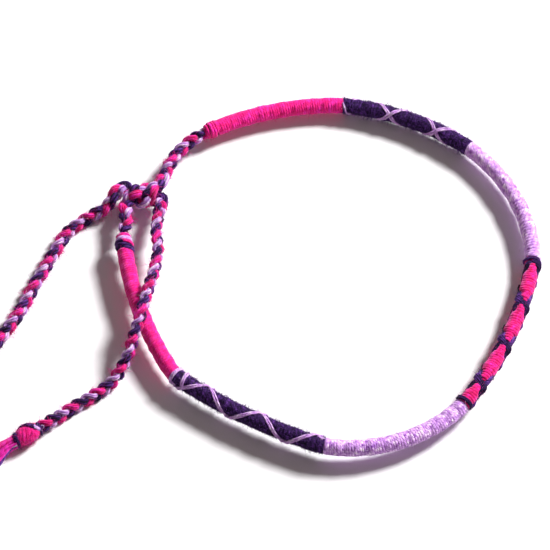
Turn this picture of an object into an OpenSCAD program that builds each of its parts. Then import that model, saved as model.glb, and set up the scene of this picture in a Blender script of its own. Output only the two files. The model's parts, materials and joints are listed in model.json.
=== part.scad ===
// Friendship bracelet: seven thread-wrapped sections on one ring of cotton strands,
// two of them crossed with lilac thread and one with purple, closed by a knot between
// two three-strand braids. It lies on its side on a table, and z = 0 is the table.
// Lengths are in millimetres, angles in degrees.

/* [Ring] */
// Length of the wrapped part of the ring, along its middle
wrapped_len = 166; // [140:1:200]
// Thickness of the bundle of strands inside the wraps
core_d = 1.5; // [1.2:0.05:1.8]
// Thickness of the plain wrapped sections
plain_d = 2.5; // [2.2:0.05:3]
// Thickness of the purple sections under their crossing threads
crossed_d = 2.4; // [2.1:0.05:2.8]
// Thickness of the pink section under its crossing threads
window_d = 2.1; // [1.95:0.05:2.6]
// Share of a section's length over which it bends into the next one
joint_share = 0.06; // [0.03:0.01:0.12]

/* [Crossing threads] */
// Width of a lilac crossing thread
lilac_w = 0.6; // [0.4:0.05:0.7]
// Width of a purple crossing bundle of two threads
purple_w = 0.9; // [0.5:0.05:1]
// Thickness of a crossing thread, pressed flat on the wrap
cross_t = 0.34; // [0.25:0.01:0.45]
// Length of the stretch over which a thread climbs over the other one
climb_len = 0.9; // [0.7:0.05:1.2]

/* [Braids] */
// Thickness of one strand of a braid
strand_d = 0.5; // [0.4:0.01:0.52]
// Length in which a strand comes back to the same side of its braid
plait_len = 4.8; // [4.2:0.1:6]
// Share of its usual pace at which a braid plaits inside the knot
knot_pace = 0.5; // [0.3:0.05:0.6]

/* [Bound ends] */
// Thickness of the thread in the turns that bind the pink end by braid A
cap_turn_d = 0.6; // [0.5:0.05:0.8]
// Thickness of the thread in the turns that bind the pink end by braid B
knob_turn_d = 0.72; // [0.6:0.02:0.9]
// Length of the knot at the end of each braid
end_knot_len = 4.6; // [4:0.1:5.5]
// Thickness of the knot at the end of each braid
end_knot_d = 3.7; // [3:0.1:4.5]
// Length of the loose ends past those knots
tuft_len = 8; // [5:0.5:12]
// Thickness of one loose end where it leaves its knot
tuft_d = 0.9; // [0.6:0.05:1.1]

/* [Clearances] */
// Clearance between a wrap and what lies inside or on it
wrap_gap = 0.06; // [0.03:0.01:0.1]
// Gap between one section and the next
section_gap = 0.1; // [0.05:0.05:0.3]
// Gap between a braid and the part that it comes out of
end_gap = 0.1; // [0.05:0.05:0.3]
// Height of the lowest thread above the table
table_gap = 0.02; // [0:0.01:0.1]

/* [Hidden] */
$fn = 48;

PINK = "#f0148c";
PURPLE = "#351450";
LILAC = "#c79ae0";

// The sections in order round the ring, from the end by braid A to the end by braid B.
// Each has its share of the wrapped length, its own bend, the bend of the joint that
// follows it, the climb of that joint, its thickness and its colour.
SECTIONS = [
    [0.124, -26, -10, 1.2, plain_d, PINK],
    [0.130, -28,  -8, 0,   crossed_d, PURPLE],
    [0.142, -43, -14, 0,   plain_d, LILAC],
    [0.173, -24, -10, 0,   window_d, PINK],
    [0.136, -50, -15, 0,   plain_d, LILAC],
    [0.155, -16, -23, 2,   crossed_d, PURPLE],
    [0.140, -22,   0, 0,   plain_d, PINK]
];
SHARE = 0; BEND = 1; JOINT_BEND = 2; JOINT_CLIMB = 3; THICK = 4; TINT = 5;
LAST = len(SECTIONS) - 1;

// The crossing threads of a section: its index, the width of a thread, the length of a
// full turn, the place of the first crossing that faces up, the side that this crossing
// is on, where 0 is outward and 90 is up, and the colour.
CROSSINGS_2 = [1, lilac_w, 8.0, 7.7, 135, LILAC];
CROSSINGS_4 = [3, purple_w, 7.8, 9.2, 75, PURPLE];
CROSSINGS_6 = [5, lilac_w, 9.2, 6.0, -30, LILAC];

// Routes of the two braids, from the ring through the knot to the knotted end.
// Braid A comes from the first section, braid B from the last.
ROUTE_A = [
    [-22.0, 23.9, 2.3], [-23.9, 21.9, 2.4], [-25.2, 19.6, 2.5],
    [-26.0, 17.4, 2.7], [-26.6, 15.5, 3.1], [-28.0, 13.5, 3.65], [-29.2, 12.0, 2.65],
    [-30.5, 13.2, 1.65], [-31.8, 14.4, 2.65], [-33.0, 14.1, 3.2], [-34.1, 12.7, 2.7],
    [-35.3, 11.5, 1.8], [-36.9, 10.7, 1.2], [-38.7, 9.7, 0.8], [-40.4, 8.2, 0.75],
    [-41.8, 6.2, 0.75], [-42.9, 3.9, 0.75], [-44.1, 1.4, 0.75], [-45.3, -1.2, 0.75],
    [-46.4, -3.8, 0.75], [-47.5, -6.4, 0.75], [-48.8, -8.8, 0.75], [-50.2, -11.1, 0.75],
    [-51.6, -13.3, 0.75], [-52.8, -15.6, 1.0]
];
ROUTE_B = [
    [-31.9, 8.3, 3.0], [-32.0, 10.1, 2.9], [-31.8, 12.0, 2.8],
    [-30.5, 13.2, 3.65], [-29.2, 14.4, 2.6], [-28.0, 13.4, 1.65], [-26.7, 12.7, 2.4],
    [-26.6, 11.0, 3.0], [-27.0, 8.9, 3.1], [-27.2, 6.2, 3.3], [-26.9, 3.5, 3.5],
    [-27.0, 1.0, 3.7], [-27.4, -1.6, 4.0], [-28.0, -4.2, 4.3], [-28.6, -6.8, 4.5],
    [-29.2, -9.5, 4.5], [-29.9, -12.0, 4.0], [-30.6, -14.4, 3.2], [-31.5, -16.7, 2.3],
    [-32.7, -18.6, 1.5], [-34.3, -20.3, 0.95], [-36.2, -21.8, 0.75], [-38.3, -23.2, 0.75],
    [-40.5, -24.8, 0.8], [-42.3, -26.3, 1.2]
];
// Where each route enters and leaves the knot, and the angle at which its plait starts
KNOT_A = [11.5, 25.5, 40];
KNOT_B = [2.5, 15.5, 60];

// Places of the end knots, and the direction and slope of the line through each of them
END_KNOT_A = [[-54.6, -20.6, 1.9], -108, 0];
END_KNOT_B = [[-45.7, -28.8, 1.9], -146, 0];
END_KNOT_TURNS = 3;

ring_bend = -sum([for (s = SECTIONS) s[BEND] + s[JOINT_BEND]]);
ring_r = wrapped_len / ring_bend * 180 / PI;
first_joint_climb = SECTIONS[0][JOINT_CLIMB];
// Height of the ring's middle: its thickest crossing clears the table
ring_z = table_gap + max(
    window_d / 2 + 2 * (cross_t + wrap_gap),
    crossed_d / 2 + wrap_gap + cross_t,
    plain_d / 2
);
start_z = ring_z + SECTIONS[0][SHARE] * wrapped_len * sin(first_joint_climb);
start_polar = 124.7;
start_reach = 0.972;
start_heading = 27;

// Distance from a part to the middle of the strands that come out of it
strand_start = end_gap + strand_d / 2;

cap_turns = 3;
knob_turns = 4;
cap_len = cap_turns * cap_turn_d;
knob_len = knob_turns * knob_turn_d;

// Reach of a strand's middle to the side, and up and down, in thicknesses of a strand
braid_half_w = 1.24 * strand_d;
braid_half_t = 0.9 * strand_d;
rings_per_plait = 10;
route_steps = 6;
strand_sides = 5;
thread_sides = 5;
// Places of a thread's rings over half a turn, from one crossing to the next
half_turn_spots = [0, 0.08, 0.2, 0.35, 0.5, 0.65, 0.8, 0.92];
// Share by which a thread's rings stand out, so that its straight sides clear the wrap
widest_spot = max([for (k = [1:len(half_turn_spots) - 1]) half_turn_spots[k] - half_turn_spots[k - 1]]);
ring_reach = 1 / cos(180 * widest_spot / 2);
main_steps = 7;
sleeve_sides = 12;
core_sides = 8;

// Loose ends: how far they fan out to each side, in lengths, how thin their tips are, and
// how thick the head is that holds them together, both in thicknesses of a loose end
tuft_fan = 0.25;
tuft_tip = 0.6;
tuft_head = 2;

function sum(v) = len(v) == 0 ? 0 : v * [for (x = v) 1];
function unit(v) = v / norm(v);

// Rigid moves as matrices: roll about the way forward, and travel round a bend
function roll_by(a) = [
    [1, 0, 0, 0], [0, cos(a), -sin(a), 0], [0, sin(a), cos(a), 0], [0, 0, 0, 1]
];
function travel(r, a) = [
    [cos(a), -sin(a), 0, r * sin(a)], [sin(a), cos(a), 0, r * (1 - cos(a))],
    [0, 0, 1, 0], [0, 0, 0, 1]
];
function place(p, heading, slope) = [
    [cos(heading) * cos(slope), -sin(heading), -cos(heading) * sin(slope), p.x],
    [sin(heading) * cos(slope), cos(heading), -sin(heading) * sin(slope), p.y],
    [sin(slope), 0, cos(slope), p.z],
    [0, 0, 0, 1]
];

// Bends of the ring in order, each with its section, length, turn and climb
function section_len(i) = SECTIONS[i][SHARE] * wrapped_len;
function half_joint(i, j) = [
    i, section_len(i) * joint_share, SECTIONS[j][JOINT_BEND] / 2, SECTIONS[j][JOINT_CLIMB] / 2
];
function section_bends(i) = concat(
    i > 0 ? [half_joint(i, i - 1)] : [],
    [[i, section_len(i) * (1 - joint_share * (i > 0 && i < LAST ? 2 : 1)), SECTIONS[i][BEND], 0]],
    i < LAST ? [half_joint(i, i)] : []
);
BENDS = [for (i = [0:LAST]) each section_bends(i)];

function bend_angle(b) = norm([b[2], b[3]]);
function bend_roll(b) = atan2(b[3], b[2]);
function bend_radius(b) = b[1] / bend_angle(b) * 180 / PI;
function along(b, share) =
    roll_by(bend_roll(b)) * travel(bend_radius(b), bend_angle(b) * share) * roll_by(-bend_roll(b));

START = place(
    concat(ring_r * start_reach * [cos(start_polar), sin(start_polar)], start_z),
    start_heading, -first_joint_climb
);
FRAMES = [
    for (i = 0, m = START; i <= len(BENDS); m = i < len(BENDS) ? m * along(BENDS[i], 1) : m, i = i + 1) m
];

// Place on the ring's middle at a length s from the start of section i
function bends_of(i) = [for (k = [0:len(BENDS) - 1]) if (BENDS[k][0] == i) k];
function frame_in(ks, s, n = 0) =
    let (k = ks[n], l = BENDS[k][1])
    (s <= l || n == len(ks) - 1) ? FRAMES[k] * along(BENDS[k], s / l) : frame_in(ks, s - l, n + 1);

// Frames across section i: one at each end of its joints and main_steps between
function spots_of(i) =
    let (l = section_len(i), a = i > 0 ? l * joint_share : 0, b = i < LAST ? l * (1 - joint_share) : l)
    concat(
        i > 0 ? [section_gap / 2] : [],
        [for (k = [0:main_steps]) a + (b - a) * k / main_steps + (i == 0 && k == 0 ? section_gap / 2 : 0)
            - (i == LAST && k == main_steps ? section_gap / 2 : 0)],
        i < LAST ? [l - section_gap / 2] : []
    );
function frames_of(i) = let (ks = bends_of(i)) [for (s = spots_of(i)) frame_in(ks, s)];

function origin_of(m) = [m[0][3], m[1][3], m[2][3]];
function aside_of(m) = [m[0][1], m[1][1], m[2][1]];
function up_of(m) = [m[0][2], m[1][2], m[2][2]];
function around(m, r, a) = origin_of(m) + r * (aside_of(m) * cos(a) + up_of(m) * sin(a));

// A hollow sleeve across frames ms
module sleeve(ms, d_out, d_in, sides) {
    n = len(ms);
    step = 360 / sides;
    points = [
        for (m = ms) each concat(
            [for (j = [0:sides - 1]) around(m, d_out / 2, j * step)],
            [for (j = [0:sides - 1]) around(m, d_in / 2 / cos(step / 2), j * step)]
        )
    ];
    ring = 2 * sides;
    function quad(a, b, c, d) = [[a, b, c], [a, c, d]];
    outer = [for (i = [0:n - 2], j = [0:sides - 1])
        let (a = i * ring + j, b = i * ring + (j + 1) % sides) each quad(a, a + ring, b + ring, b)];
    inner = [for (i = [0:n - 2], j = [0:sides - 1])
        let (a = i * ring + sides + j, b = i * ring + sides + (j + 1) % sides)
        each quad(a, b, b + ring, a + ring)];
    e = (n - 1) * ring;
    ends = [for (j = [0:sides - 1])
        let (k = (j + 1) % sides)
        each concat(quad(j, k, k + sides, j + sides), quad(e + k, e + j, e + j + sides, e + k + sides))];
    polyhedron(points, concat(outer, inner, ends));
}

// A tube along points p: up[i] leans the ring there, w is across and t is along up
module tube(p, up, w, t, sides) {
    n = len(p);
    forward = [for (i = [0:n - 1]) unit(p[min(i + 1, n - 1)] - p[max(i - 1, 0)])];
    across = [for (i = [0:n - 1]) unit(cross(forward[i], up[i]))];
    over = [for (i = [0:n - 1]) cross(across[i], forward[i])];
    points = [
        for (i = [0:n - 1], j = [0:sides - 1])
            let (a = 360 * (j + 0.5) / sides) p[i] + over[i] * t / 2 * cos(a) + across[i] * w / 2 * sin(a)
    ];
    sides_faces = [
        for (i = [0:n - 2], j = [0:sides - 1])
            let (a = i * sides + j, b = i * sides + (j + 1) % sides)
            each [[a, a + sides, b], [b, a + sides, b + sides]]
    ];
    cap_faces = [
        for (j = [1:sides - 2])
            each [[0, j, j + 1], let (e = (n - 1) * sides) [e, e + j + 1, e + j]]
    ];
    polyhedron(points, concat(sides_faces, cap_faces));
}

// Core: the strands that the ring is wound on, with its two bound ends

module core() {
    ms = [for (i = [0:LAST]) each frames_of(i)];
    p = concat(
        [ahead(FRAMES[0], -cap_len)], [for (m = ms) origin_of(m)], [ahead(FRAMES[len(BENDS)], knob_len)]
    );
    up = [for (m = concat([FRAMES[0]], ms, [FRAMES[len(BENDS)]])) up_of(m)];
    color("#8c5f9e") tube(p, up, core_d, core_d, core_sides);
}

// Wraps: one sleeve of wound thread for each section

module wrap(i) {
    color(SECTIONS[i][TINT])
        sleeve(frames_of(i), SECTIONS[i][THICK], core_d + 2 * wrap_gap, sleeve_sides);
}

// Crossing threads: two on each crossed section, wound opposite ways

function crossing_climb(off, hold) =
    off <= hold ? 1 : off < hold + climb_len ? (1 + cos(180 * (off - hold) / climb_len)) / 2 : 0;

module crossing_thread(c, hand, over) {
    i = c[0]; width = c[1]; turn = c[2]; first = c[3]; side = c[4];
    ks = bends_of(i);
    from = section_gap + width / 2;
    to = section_len(i) - from;
    half = turn / 2;
    // Each spot is a count of half turns from the first crossing
    spots = [
        (from - first) / half,
        for (k = [floor((from - first) / half):ceil((to - first) / half)], share = half_turn_spots)
            let (s = first + (k + share) * half)
            if (s > from + width / 2 && s < to - width / 2) k + share,
        (to - first) / half
    ];
    lie = (SECTIONS[i][THICK] / 2 + wrap_gap + cross_t / 2) * ring_reach;
    ms = [for (q = spots) frame_in(ks, first + q * half)];
    out = [for (k = [0:len(spots) - 1])
        let (a = side + hand * 180 * spots[k]) aside_of(ms[k]) * cos(a) + up_of(ms[k]) * sin(a)
    ];
    p = [for (k = [0:len(spots) - 1])
        let (off = abs(spots[k] - round(spots[k])) * half)
        origin_of(ms[k])
            + (lie + over * (cross_t + wrap_gap) * crossing_climb(off, width / 2)) * out[k]
    ];
    color(c[5]) tube(p, out, width, cross_t, thread_sides);
}

// Bound ends: turns of thread round the core where a braid begins

module turns(count, turn_d) {
    rotate_extrude() {
        for (k = [0:count - 1])
            translate([core_d / 2 + wrap_gap + turn_d / 2, (k + 0.5) * turn_d]) circle(d = turn_d);
        translate([core_d / 2 + wrap_gap, turn_d / 4])
            square([turn_d / 2, (count - 0.5) * turn_d]);
    }
}

module end_cap_a() {
    color(PINK) multmatrix(FRAMES[0]) rotate([0, -90, 0])
        translate([0, 0, section_gap / 2]) turns(cap_turns, cap_turn_d);
}

module end_knob_b() {
    color(PURPLE) multmatrix(FRAMES[len(BENDS)]) rotate([0, 90, 0])
        translate([0, 0, section_gap / 2]) turns(knob_turns, knob_turn_d);
}

// Braids: three strands each, which pass over and under each other along the route

function curve(a, b, c, d, t) = 0.5 * (
    2 * b + (c - a) * t + (2 * a - 5 * b + 4 * c - d) * t * t + (3 * b - a - 3 * c + d) * t * t * t
);
function smooth(r) = [
    for (i = [0:len(r) - 2], k = [0:route_steps - 1])
        curve(
            i == 0 ? 2 * r[0] - r[1] : r[i - 1], r[i], r[i + 1],
            i == len(r) - 2 ? 2 * r[i + 1] - r[i] : r[i + 2],
            k / route_steps
        ),
    r[len(r) - 1]
];
function lengths(p) = [
    for (i = 0, s = 0; i < len(p); i = i + 1, s = i < len(p) ? s + norm(p[i] - p[i - 1]) : s) s
];

// A braid's route with its two ends: where it leaves the ring, and where it meets its knot
function ahead(m, l) = origin_of(m) + l * [m[0][0], m[1][0], m[2][0]];
function knot_face(at) = ahead(place(at[0], at[1], at[2]), -end_knot_len / 2 - strand_start);
PATH_A = concat([ahead(FRAMES[0], -cap_len - strand_start)], ROUTE_A, [knot_face(END_KNOT_A)]);
PATH_B = concat([ahead(FRAMES[len(BENDS)], knob_len + strand_start)], ROUTE_B, [knot_face(END_KNOT_B)]);

module strand(route, knot, which) {
    tint = [PINK, PURPLE, LILAC][which];
    fine = smooth(route);
    ls = lengths(fine);
    total = ls[len(ls) - 1];
    tables = [for (axis = [0:2]) [for (i = [0:len(ls) - 1]) [ls[i], fine[i][axis]]]];
    n = round(total / plait_len * rings_per_plait);
    middle = [for (k = [0:n]) [for (axis = [0:2]) lookup(total * k / n, tables[axis])]];
    p = [for (k = [0:n])
        let (
            s = total * k / n,
            in_knot = min(max(s - knot[0], 0), knot[1] - knot[0]),
            a = 360 * (s - in_knot * (1 - knot_pace)) / plait_len + 120 * which + knot[2],
            forward = unit(middle[min(k + 1, n)] - middle[max(k - 1, 0)]),
            aside = unit(cross([0, 0, 1], forward)),
            over = cross(forward, aside)
        )
        middle[k] + aside * braid_half_w * sin(a) + over * braid_half_t * sin(2 * a)
    ];
    color(tint) tube(p, [for (k = p) [0, 0, 1]], strand_d, strand_d, strand_sides);
}

// Knotted ends: the knot and the loose ends past it

module end_knot(at) {
    turn = end_knot_len / END_KNOT_TURNS;
    color(PINK) multmatrix(place(at[0], at[1], at[2])) rotate([0, 90, 0]) rotate_extrude()
        intersection() {
            translate([0, -end_knot_len / 2]) square([end_knot_d, end_knot_len]);
            union() {
                for (k = [0:END_KNOT_TURNS - 1])
                    translate([end_knot_d / 2 - turn / 2, (k + 0.5) * turn - end_knot_len / 2])
                        circle(d = turn);
                translate([0, -end_knot_len / 2 + turn / 4])
                    square([end_knot_d / 2 - turn / 4, end_knot_len - turn / 2]);
            }
        }
}

module tuft(at) {
    root = end_knot_len / 2 + end_gap;
    low = table_gap + tuft_d / 2;
    start = [root + tuft_d / 2, 0, at[0].z];
    color(PINK) multmatrix(place([at[0].x, at[0].y, 0], at[1], 0)) {
        translate([root, 0, start.z]) rotate([0, 90, 0]) cylinder(h = tuft_d, d = tuft_head * tuft_d);
        for (side = [-1, 0, 1]) {
            reach = [root + tuft_len, side * tuft_fan * tuft_len, low] - start;
            translate(start) rotate([0, acos(reach.z / norm(reach)), atan2(reach.y, reach.x)])
                cylinder(h = norm(reach), d1 = tuft_d, d2 = tuft_tip * tuft_d);
        }
    }
}

core();
wrap(0);  // wrap_1_pink
wrap(1);  // wrap_2_purple
wrap(2);  // wrap_3_lilac
wrap(3);  // wrap_4_pink
wrap(4);  // wrap_5_lilac
wrap(5);  // wrap_6_purple
wrap(6);  // wrap_7_pink
crossing_thread(CROSSINGS_2, 1, 0);  // cross_2_under
crossing_thread(CROSSINGS_2, -1, 1);  // cross_2_over
crossing_thread(CROSSINGS_4, 1, 0);  // cross_4_under
crossing_thread(CROSSINGS_4, -1, 1);  // cross_4_over
crossing_thread(CROSSINGS_6, 1, 0);  // cross_6_under
crossing_thread(CROSSINGS_6, -1, 1);  // cross_6_over
end_cap_a();
end_knob_b();
strand(PATH_A, KNOT_A, 0);  // braid_a_pink
strand(PATH_A, KNOT_A, 1);  // braid_a_purple
strand(PATH_A, KNOT_A, 2);  // braid_a_lilac
strand(PATH_B, KNOT_B, 0);  // braid_b_pink
strand(PATH_B, KNOT_B, 1);  // braid_b_purple
strand(PATH_B, KNOT_B, 2);  // braid_b_lilac
end_knot(END_KNOT_A);  // end_knot_a
end_knot(END_KNOT_B);  // end_knot_b
tuft(END_KNOT_A);  // tuft_a
tuft(END_KNOT_B);  // tuft_b
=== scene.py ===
"""A thread-wrapped friendship bracelet, lying on its side on a white table.

Sizes are in millimetres in the row's own frame, and meshes are made in metres. The ring's
middle line and the points of the braids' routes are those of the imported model. The bundles on
the middle section, the plaits and the end knots leave its solids a little, to lie as thread does.
"""

from __future__ import annotations

import json
import logging
import math
from abc import ABC, abstractmethod
from dataclasses import dataclass, field
from enum import Enum

import bpy
import numpy as np
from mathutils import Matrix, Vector

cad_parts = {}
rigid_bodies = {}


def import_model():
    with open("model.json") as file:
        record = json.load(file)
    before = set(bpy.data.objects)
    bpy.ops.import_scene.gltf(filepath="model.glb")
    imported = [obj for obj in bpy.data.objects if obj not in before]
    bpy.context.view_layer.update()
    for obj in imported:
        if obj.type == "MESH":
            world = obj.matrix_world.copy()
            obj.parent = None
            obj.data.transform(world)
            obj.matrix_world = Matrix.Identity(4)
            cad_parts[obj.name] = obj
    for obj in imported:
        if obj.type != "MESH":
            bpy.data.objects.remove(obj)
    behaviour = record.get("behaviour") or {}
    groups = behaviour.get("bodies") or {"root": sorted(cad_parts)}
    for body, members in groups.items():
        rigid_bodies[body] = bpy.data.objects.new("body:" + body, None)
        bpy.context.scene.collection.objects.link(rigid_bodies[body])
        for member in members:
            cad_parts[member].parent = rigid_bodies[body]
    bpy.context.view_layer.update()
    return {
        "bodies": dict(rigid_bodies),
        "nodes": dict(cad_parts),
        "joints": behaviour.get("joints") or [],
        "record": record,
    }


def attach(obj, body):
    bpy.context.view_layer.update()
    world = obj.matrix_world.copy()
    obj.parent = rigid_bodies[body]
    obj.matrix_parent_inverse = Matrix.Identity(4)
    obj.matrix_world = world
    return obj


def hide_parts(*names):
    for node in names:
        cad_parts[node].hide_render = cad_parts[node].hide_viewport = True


MM = 0.001
TINY = 1e-12
LOG = logging.getLogger("bracelet")

Colour = tuple[float, float, float]
Spot = tuple[float, float, float]


class Shade(Enum):
    """The three colours of floss."""

    PINK = "pink"
    PURPLE = "purple"
    LILAC = "lilac"


class Hand(Enum):
    """The way that a thread winds round the ring, seen along its path."""

    LEFT = -1
    RIGHT = 1


def unit(v: np.ndarray) -> np.ndarray:
    """Vectors along the last axis, each made one unit long."""
    return v / np.maximum(np.linalg.norm(v, axis=-1, keepdims=True), TINY)


def turned(angle: np.ndarray | float) -> tuple[np.ndarray, np.ndarray]:
    """The cosine and sine of an angle in degrees."""
    return np.cos(np.radians(angle)), np.sin(np.radians(angle))


def tucked(run: np.ndarray, pace: float) -> np.ndarray:
    """How far a run that starts at 0 is tucked in: 1 at both ends, and 0 past 1 / pace of them."""
    return (1 - np.clip(np.minimum(run, run[-1] - run) * pace, 0, 1)) ** 2


def roll_by(angle: float) -> np.ndarray:
    """The matrix of a roll about the way forward.

    Args:
        angle: The roll in degrees.

    Returns:
        A 4x4 matrix.
    """
    c, s = turned(angle)
    return np.array([[1, 0, 0, 0], [0, c, -s, 0], [0, s, c, 0], [0, 0, 0, 1]])


def travel(radius: float, angle: np.ndarray) -> np.ndarray:
    """The matrices of moves round a level bend.

    Args:
        radius: The radius of the bend in millimetres.
        angle: The angles turned, in degrees.

    Returns:
        One 4x4 matrix for each angle.
    """
    c, s = turned(angle)
    made = np.zeros((len(angle), 4, 4))
    made[:, 0, 0], made[:, 0, 1], made[:, 0, 3] = c, -s, radius * s
    made[:, 1, 0], made[:, 1, 1], made[:, 1, 3] = s, c, radius * (1 - c)
    made[:, 2, 2] = made[:, 3, 3] = 1
    return made


def place(spot: Spot, heading: float, slope: float = 0.0) -> np.ndarray:
    """The matrix of a place with its way forward.

    Args:
        spot: The place in millimetres.
        heading: The direction seen from above, in degrees from +X.
        slope: The climb of the way forward, in degrees.

    Returns:
        A 4x4 matrix.
    """
    (ch, sh), (cs, ss) = turned(heading), turned(slope)
    return np.array([
        [ch * cs, -sh, -ch * ss, spot[0]],
        [sh * cs, ch, -sh * ss, spot[1]],
        [ss, 0, cs, spot[2]],
        [0, 0, 0, 1],
    ])


@dataclass(frozen=True)
class Wobble:
    """A smooth seeded waver along a length, made of a few waves near one wavelength.

    Attributes:
        size: Its size.
        wave: The wavelength.
        offset: What it adds to the seed, so that the wavers of a thread differ.
    """

    size: float
    wave: float
    offset: int = 0

    WAVES = 4
    SHORTEST, LONGEST = 0.6, 1.8  # shares of the wavelength

    def along(self, s: np.ndarray, seed: int, scale: float = 1.0) -> np.ndarray:
        """The waver at lengths s.

        Args:
            s: The lengths, in the unit of the wavelength.
            seed: The seed of the thread that wavers.
            scale: What the size is multiplied by.

        Returns:
            The waver at each length.
        """
        rng = np.random.default_rng(seed + self.offset)
        waves = self.wave * rng.uniform(self.SHORTEST, self.LONGEST, self.WAVES)
        starts = rng.uniform(0, 2 * math.pi, self.WAVES)
        total = sum(np.sin(2 * math.pi * s / w + a) for w, a in zip(waves, starts))
        return self.size * scale * total / 2


@dataclass
class Stations:
    """Places along a line, each with its way forward, its outward side and its up."""

    origin: np.ndarray
    forward: np.ndarray
    aside: np.ndarray
    up: np.ndarray

    @staticmethod
    def of(frames: np.ndarray) -> Stations:
        """The stations that a stack of 4x4 matrices holds."""
        return Stations(frames[:, :3, 3], frames[:, :3, 0], frames[:, :3, 1], frames[:, :3, 2])

    @staticmethod
    def straight(frame: np.ndarray, s: np.ndarray) -> Stations:
        """Stations on a straight line.

        Args:
            frame: The 4x4 matrix of its start.
            s: Lengths from the start, along the way forward.

        Returns:
            The stations at those lengths.
        """
        frames = np.repeat(frame[None], len(s), axis=0)
        frames[:, :3, 3] += frame[:3, 0] * s[:, None]
        return Stations.of(frames)

    def out(self, angle: np.ndarray) -> np.ndarray:
        """Unit vectors away from the line, where 0 degrees is outward and 90 is up."""
        c, s = turned(angle)
        return self.aside * c[:, None] + self.up * s[:, None]

    def around(self, radius: np.ndarray, angle: np.ndarray) -> np.ndarray:
        """Points at a radius round the line."""
        return self.origin + self.out(angle) * np.broadcast_to(radius, angle.shape)[:, None]


@dataclass(frozen=True)
class RingSection:
    """One wound section of the ring.

    Attributes:
        share: Its share of the wrapped length.
        bend: The turn of its middle line in degrees.
        joint_bend: The turn of the joint after it.
        joint_climb: The climb of that joint in degrees.
        thick: Its thickness with the thread.
        shade: The thread's colour.
    """

    share: float
    bend: float
    joint_bend: float
    joint_climb: float
    thick: float
    shade: Shade


@dataclass(frozen=True)
class Bend:
    """A stretch of the ring's middle line with one radius."""

    section: int
    length: float
    turn: float
    climb: float

    @property
    def angle(self) -> float:
        """The whole angle of the bend in degrees."""
        return math.hypot(self.turn, self.climb)

    def along(self, share: np.ndarray) -> np.ndarray:
        """Moves along the bend.

        Args:
            share: Shares of its length.

        Returns:
            The 4x4 matrices from the bend's start to those shares.
        """
        roll = math.degrees(math.atan2(self.climb, self.turn))
        radius = self.length / math.radians(self.angle)
        return roll_by(roll) @ travel(radius, self.angle * share) @ roll_by(-roll)


@dataclass
class RingPath:
    """The middle line of the wrapped ring, from the end by braid A to the end by braid B."""

    wrapped_len: float = 166.0
    joint_share: float = 0.06
    middle_z: float = 1.87
    start_polar: float = 124.7
    start_reach: float = 0.972
    start_heading: float = 27.0
    sections: tuple[RingSection, ...] = (
        RingSection(0.124, -26, -10, 1.2, 2.5, Shade.PINK),
        RingSection(0.130, -28, -8, 0, 2.4, Shade.PURPLE),
        RingSection(0.142, -43, -14, 0, 2.5, Shade.LILAC),
        RingSection(0.173, -24, -10, 0, 2.1, Shade.PINK),
        RingSection(0.136, -50, -15, 0, 2.5, Shade.LILAC),
        RingSection(0.155, -16, -23, 2, 2.4, Shade.PURPLE),
        RingSection(0.140, -22, 0, 0, 2.5, Shade.PINK),
    )

    def __post_init__(self) -> None:
        """Works out the bends and the frame at the start of each."""
        self.bends = [b for i in range(len(self.sections)) for b in self.bends_in(i)]
        turned_through = -sum(s.bend + s.joint_bend for s in self.sections)
        ring_r = self.wrapped_len / math.radians(turned_through)
        climb = self.sections[0].joint_climb
        c, s = turned(self.start_polar)
        start = (
            ring_r * self.start_reach * c,
            ring_r * self.start_reach * s,
            self.middle_z + self.length_of(0) * math.sin(math.radians(climb)),
        )
        self.frames = [place(start, self.start_heading, -climb)]
        for bend in self.bends:
            self.frames.append(self.frames[-1] @ bend.along(np.ones(1))[0])

    def length_of(self, index: int) -> float:
        """The length of a section in millimetres."""
        return self.sections[index].share * self.wrapped_len

    def bends_in(self, index: int) -> list[Bend]:
        """The bends of a section: half of the joint before it, its own, half of the next joint.

        Args:
            index: The section, counted from 0.

        Returns:
            Two or three bends in order.
        """
        length = self.length_of(index)
        joint = length * self.joint_share
        before = [self.sections[index - 1]] if index > 0 else []
        after = [self.sections[index]] if index < len(self.sections) - 1 else []
        main = length - joint * (len(before) + len(after))

        def half_joints(found: list[RingSection]) -> list[Bend]:
            """Half of the joint that follows the section found."""
            return [Bend(index, joint, s.joint_bend / 2, s.joint_climb / 2) for s in found]

        middle = Bend(index, main, self.sections[index].bend, 0)
        return half_joints(before) + [middle] + half_joints(after)

    def at(self, index: int, s: np.ndarray) -> Stations:
        """Stations at lengths s from the start of a section.

        Args:
            index: The section, counted from 0.
            s: Lengths in millimetres.

        Returns:
            The stations, with the section's ends carried on as they bend.
        """
        found = np.empty((len(s), 4, 4))
        own = [k for k, bend in enumerate(self.bends) if bend.section == index]
        start = 0.0
        for k in own:
            length = self.bends[k].length
            inside = (s >= start) | (k == own[0])
            found[inside] = self.frames[k] @ self.bends[k].along((s[inside] - start) / length)
            start += length
        return Stations.of(found)

    def past_end(self, last: bool, s: np.ndarray) -> Stations:
        """Stations straight on past an end of the ring, away from the wraps.

        Args:
            last: Whether the end is the one by braid B.
            s: Lengths in millimetres past the last wrap.

        Returns:
            The stations, whose forward is away from the ring.
        """
        frame = self.frames[-1 if last else 0].copy()
        if not last:
            frame[:3, :2] *= -1
        return Stations.straight(frame, s)


@dataclass(frozen=True)
class Collar:
    """A stretch of crossing thread that is wound round an end of its section."""

    from_s: float
    to_s: float
    from_angle: float
    to_angle: float
    strands: int = 2


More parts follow.
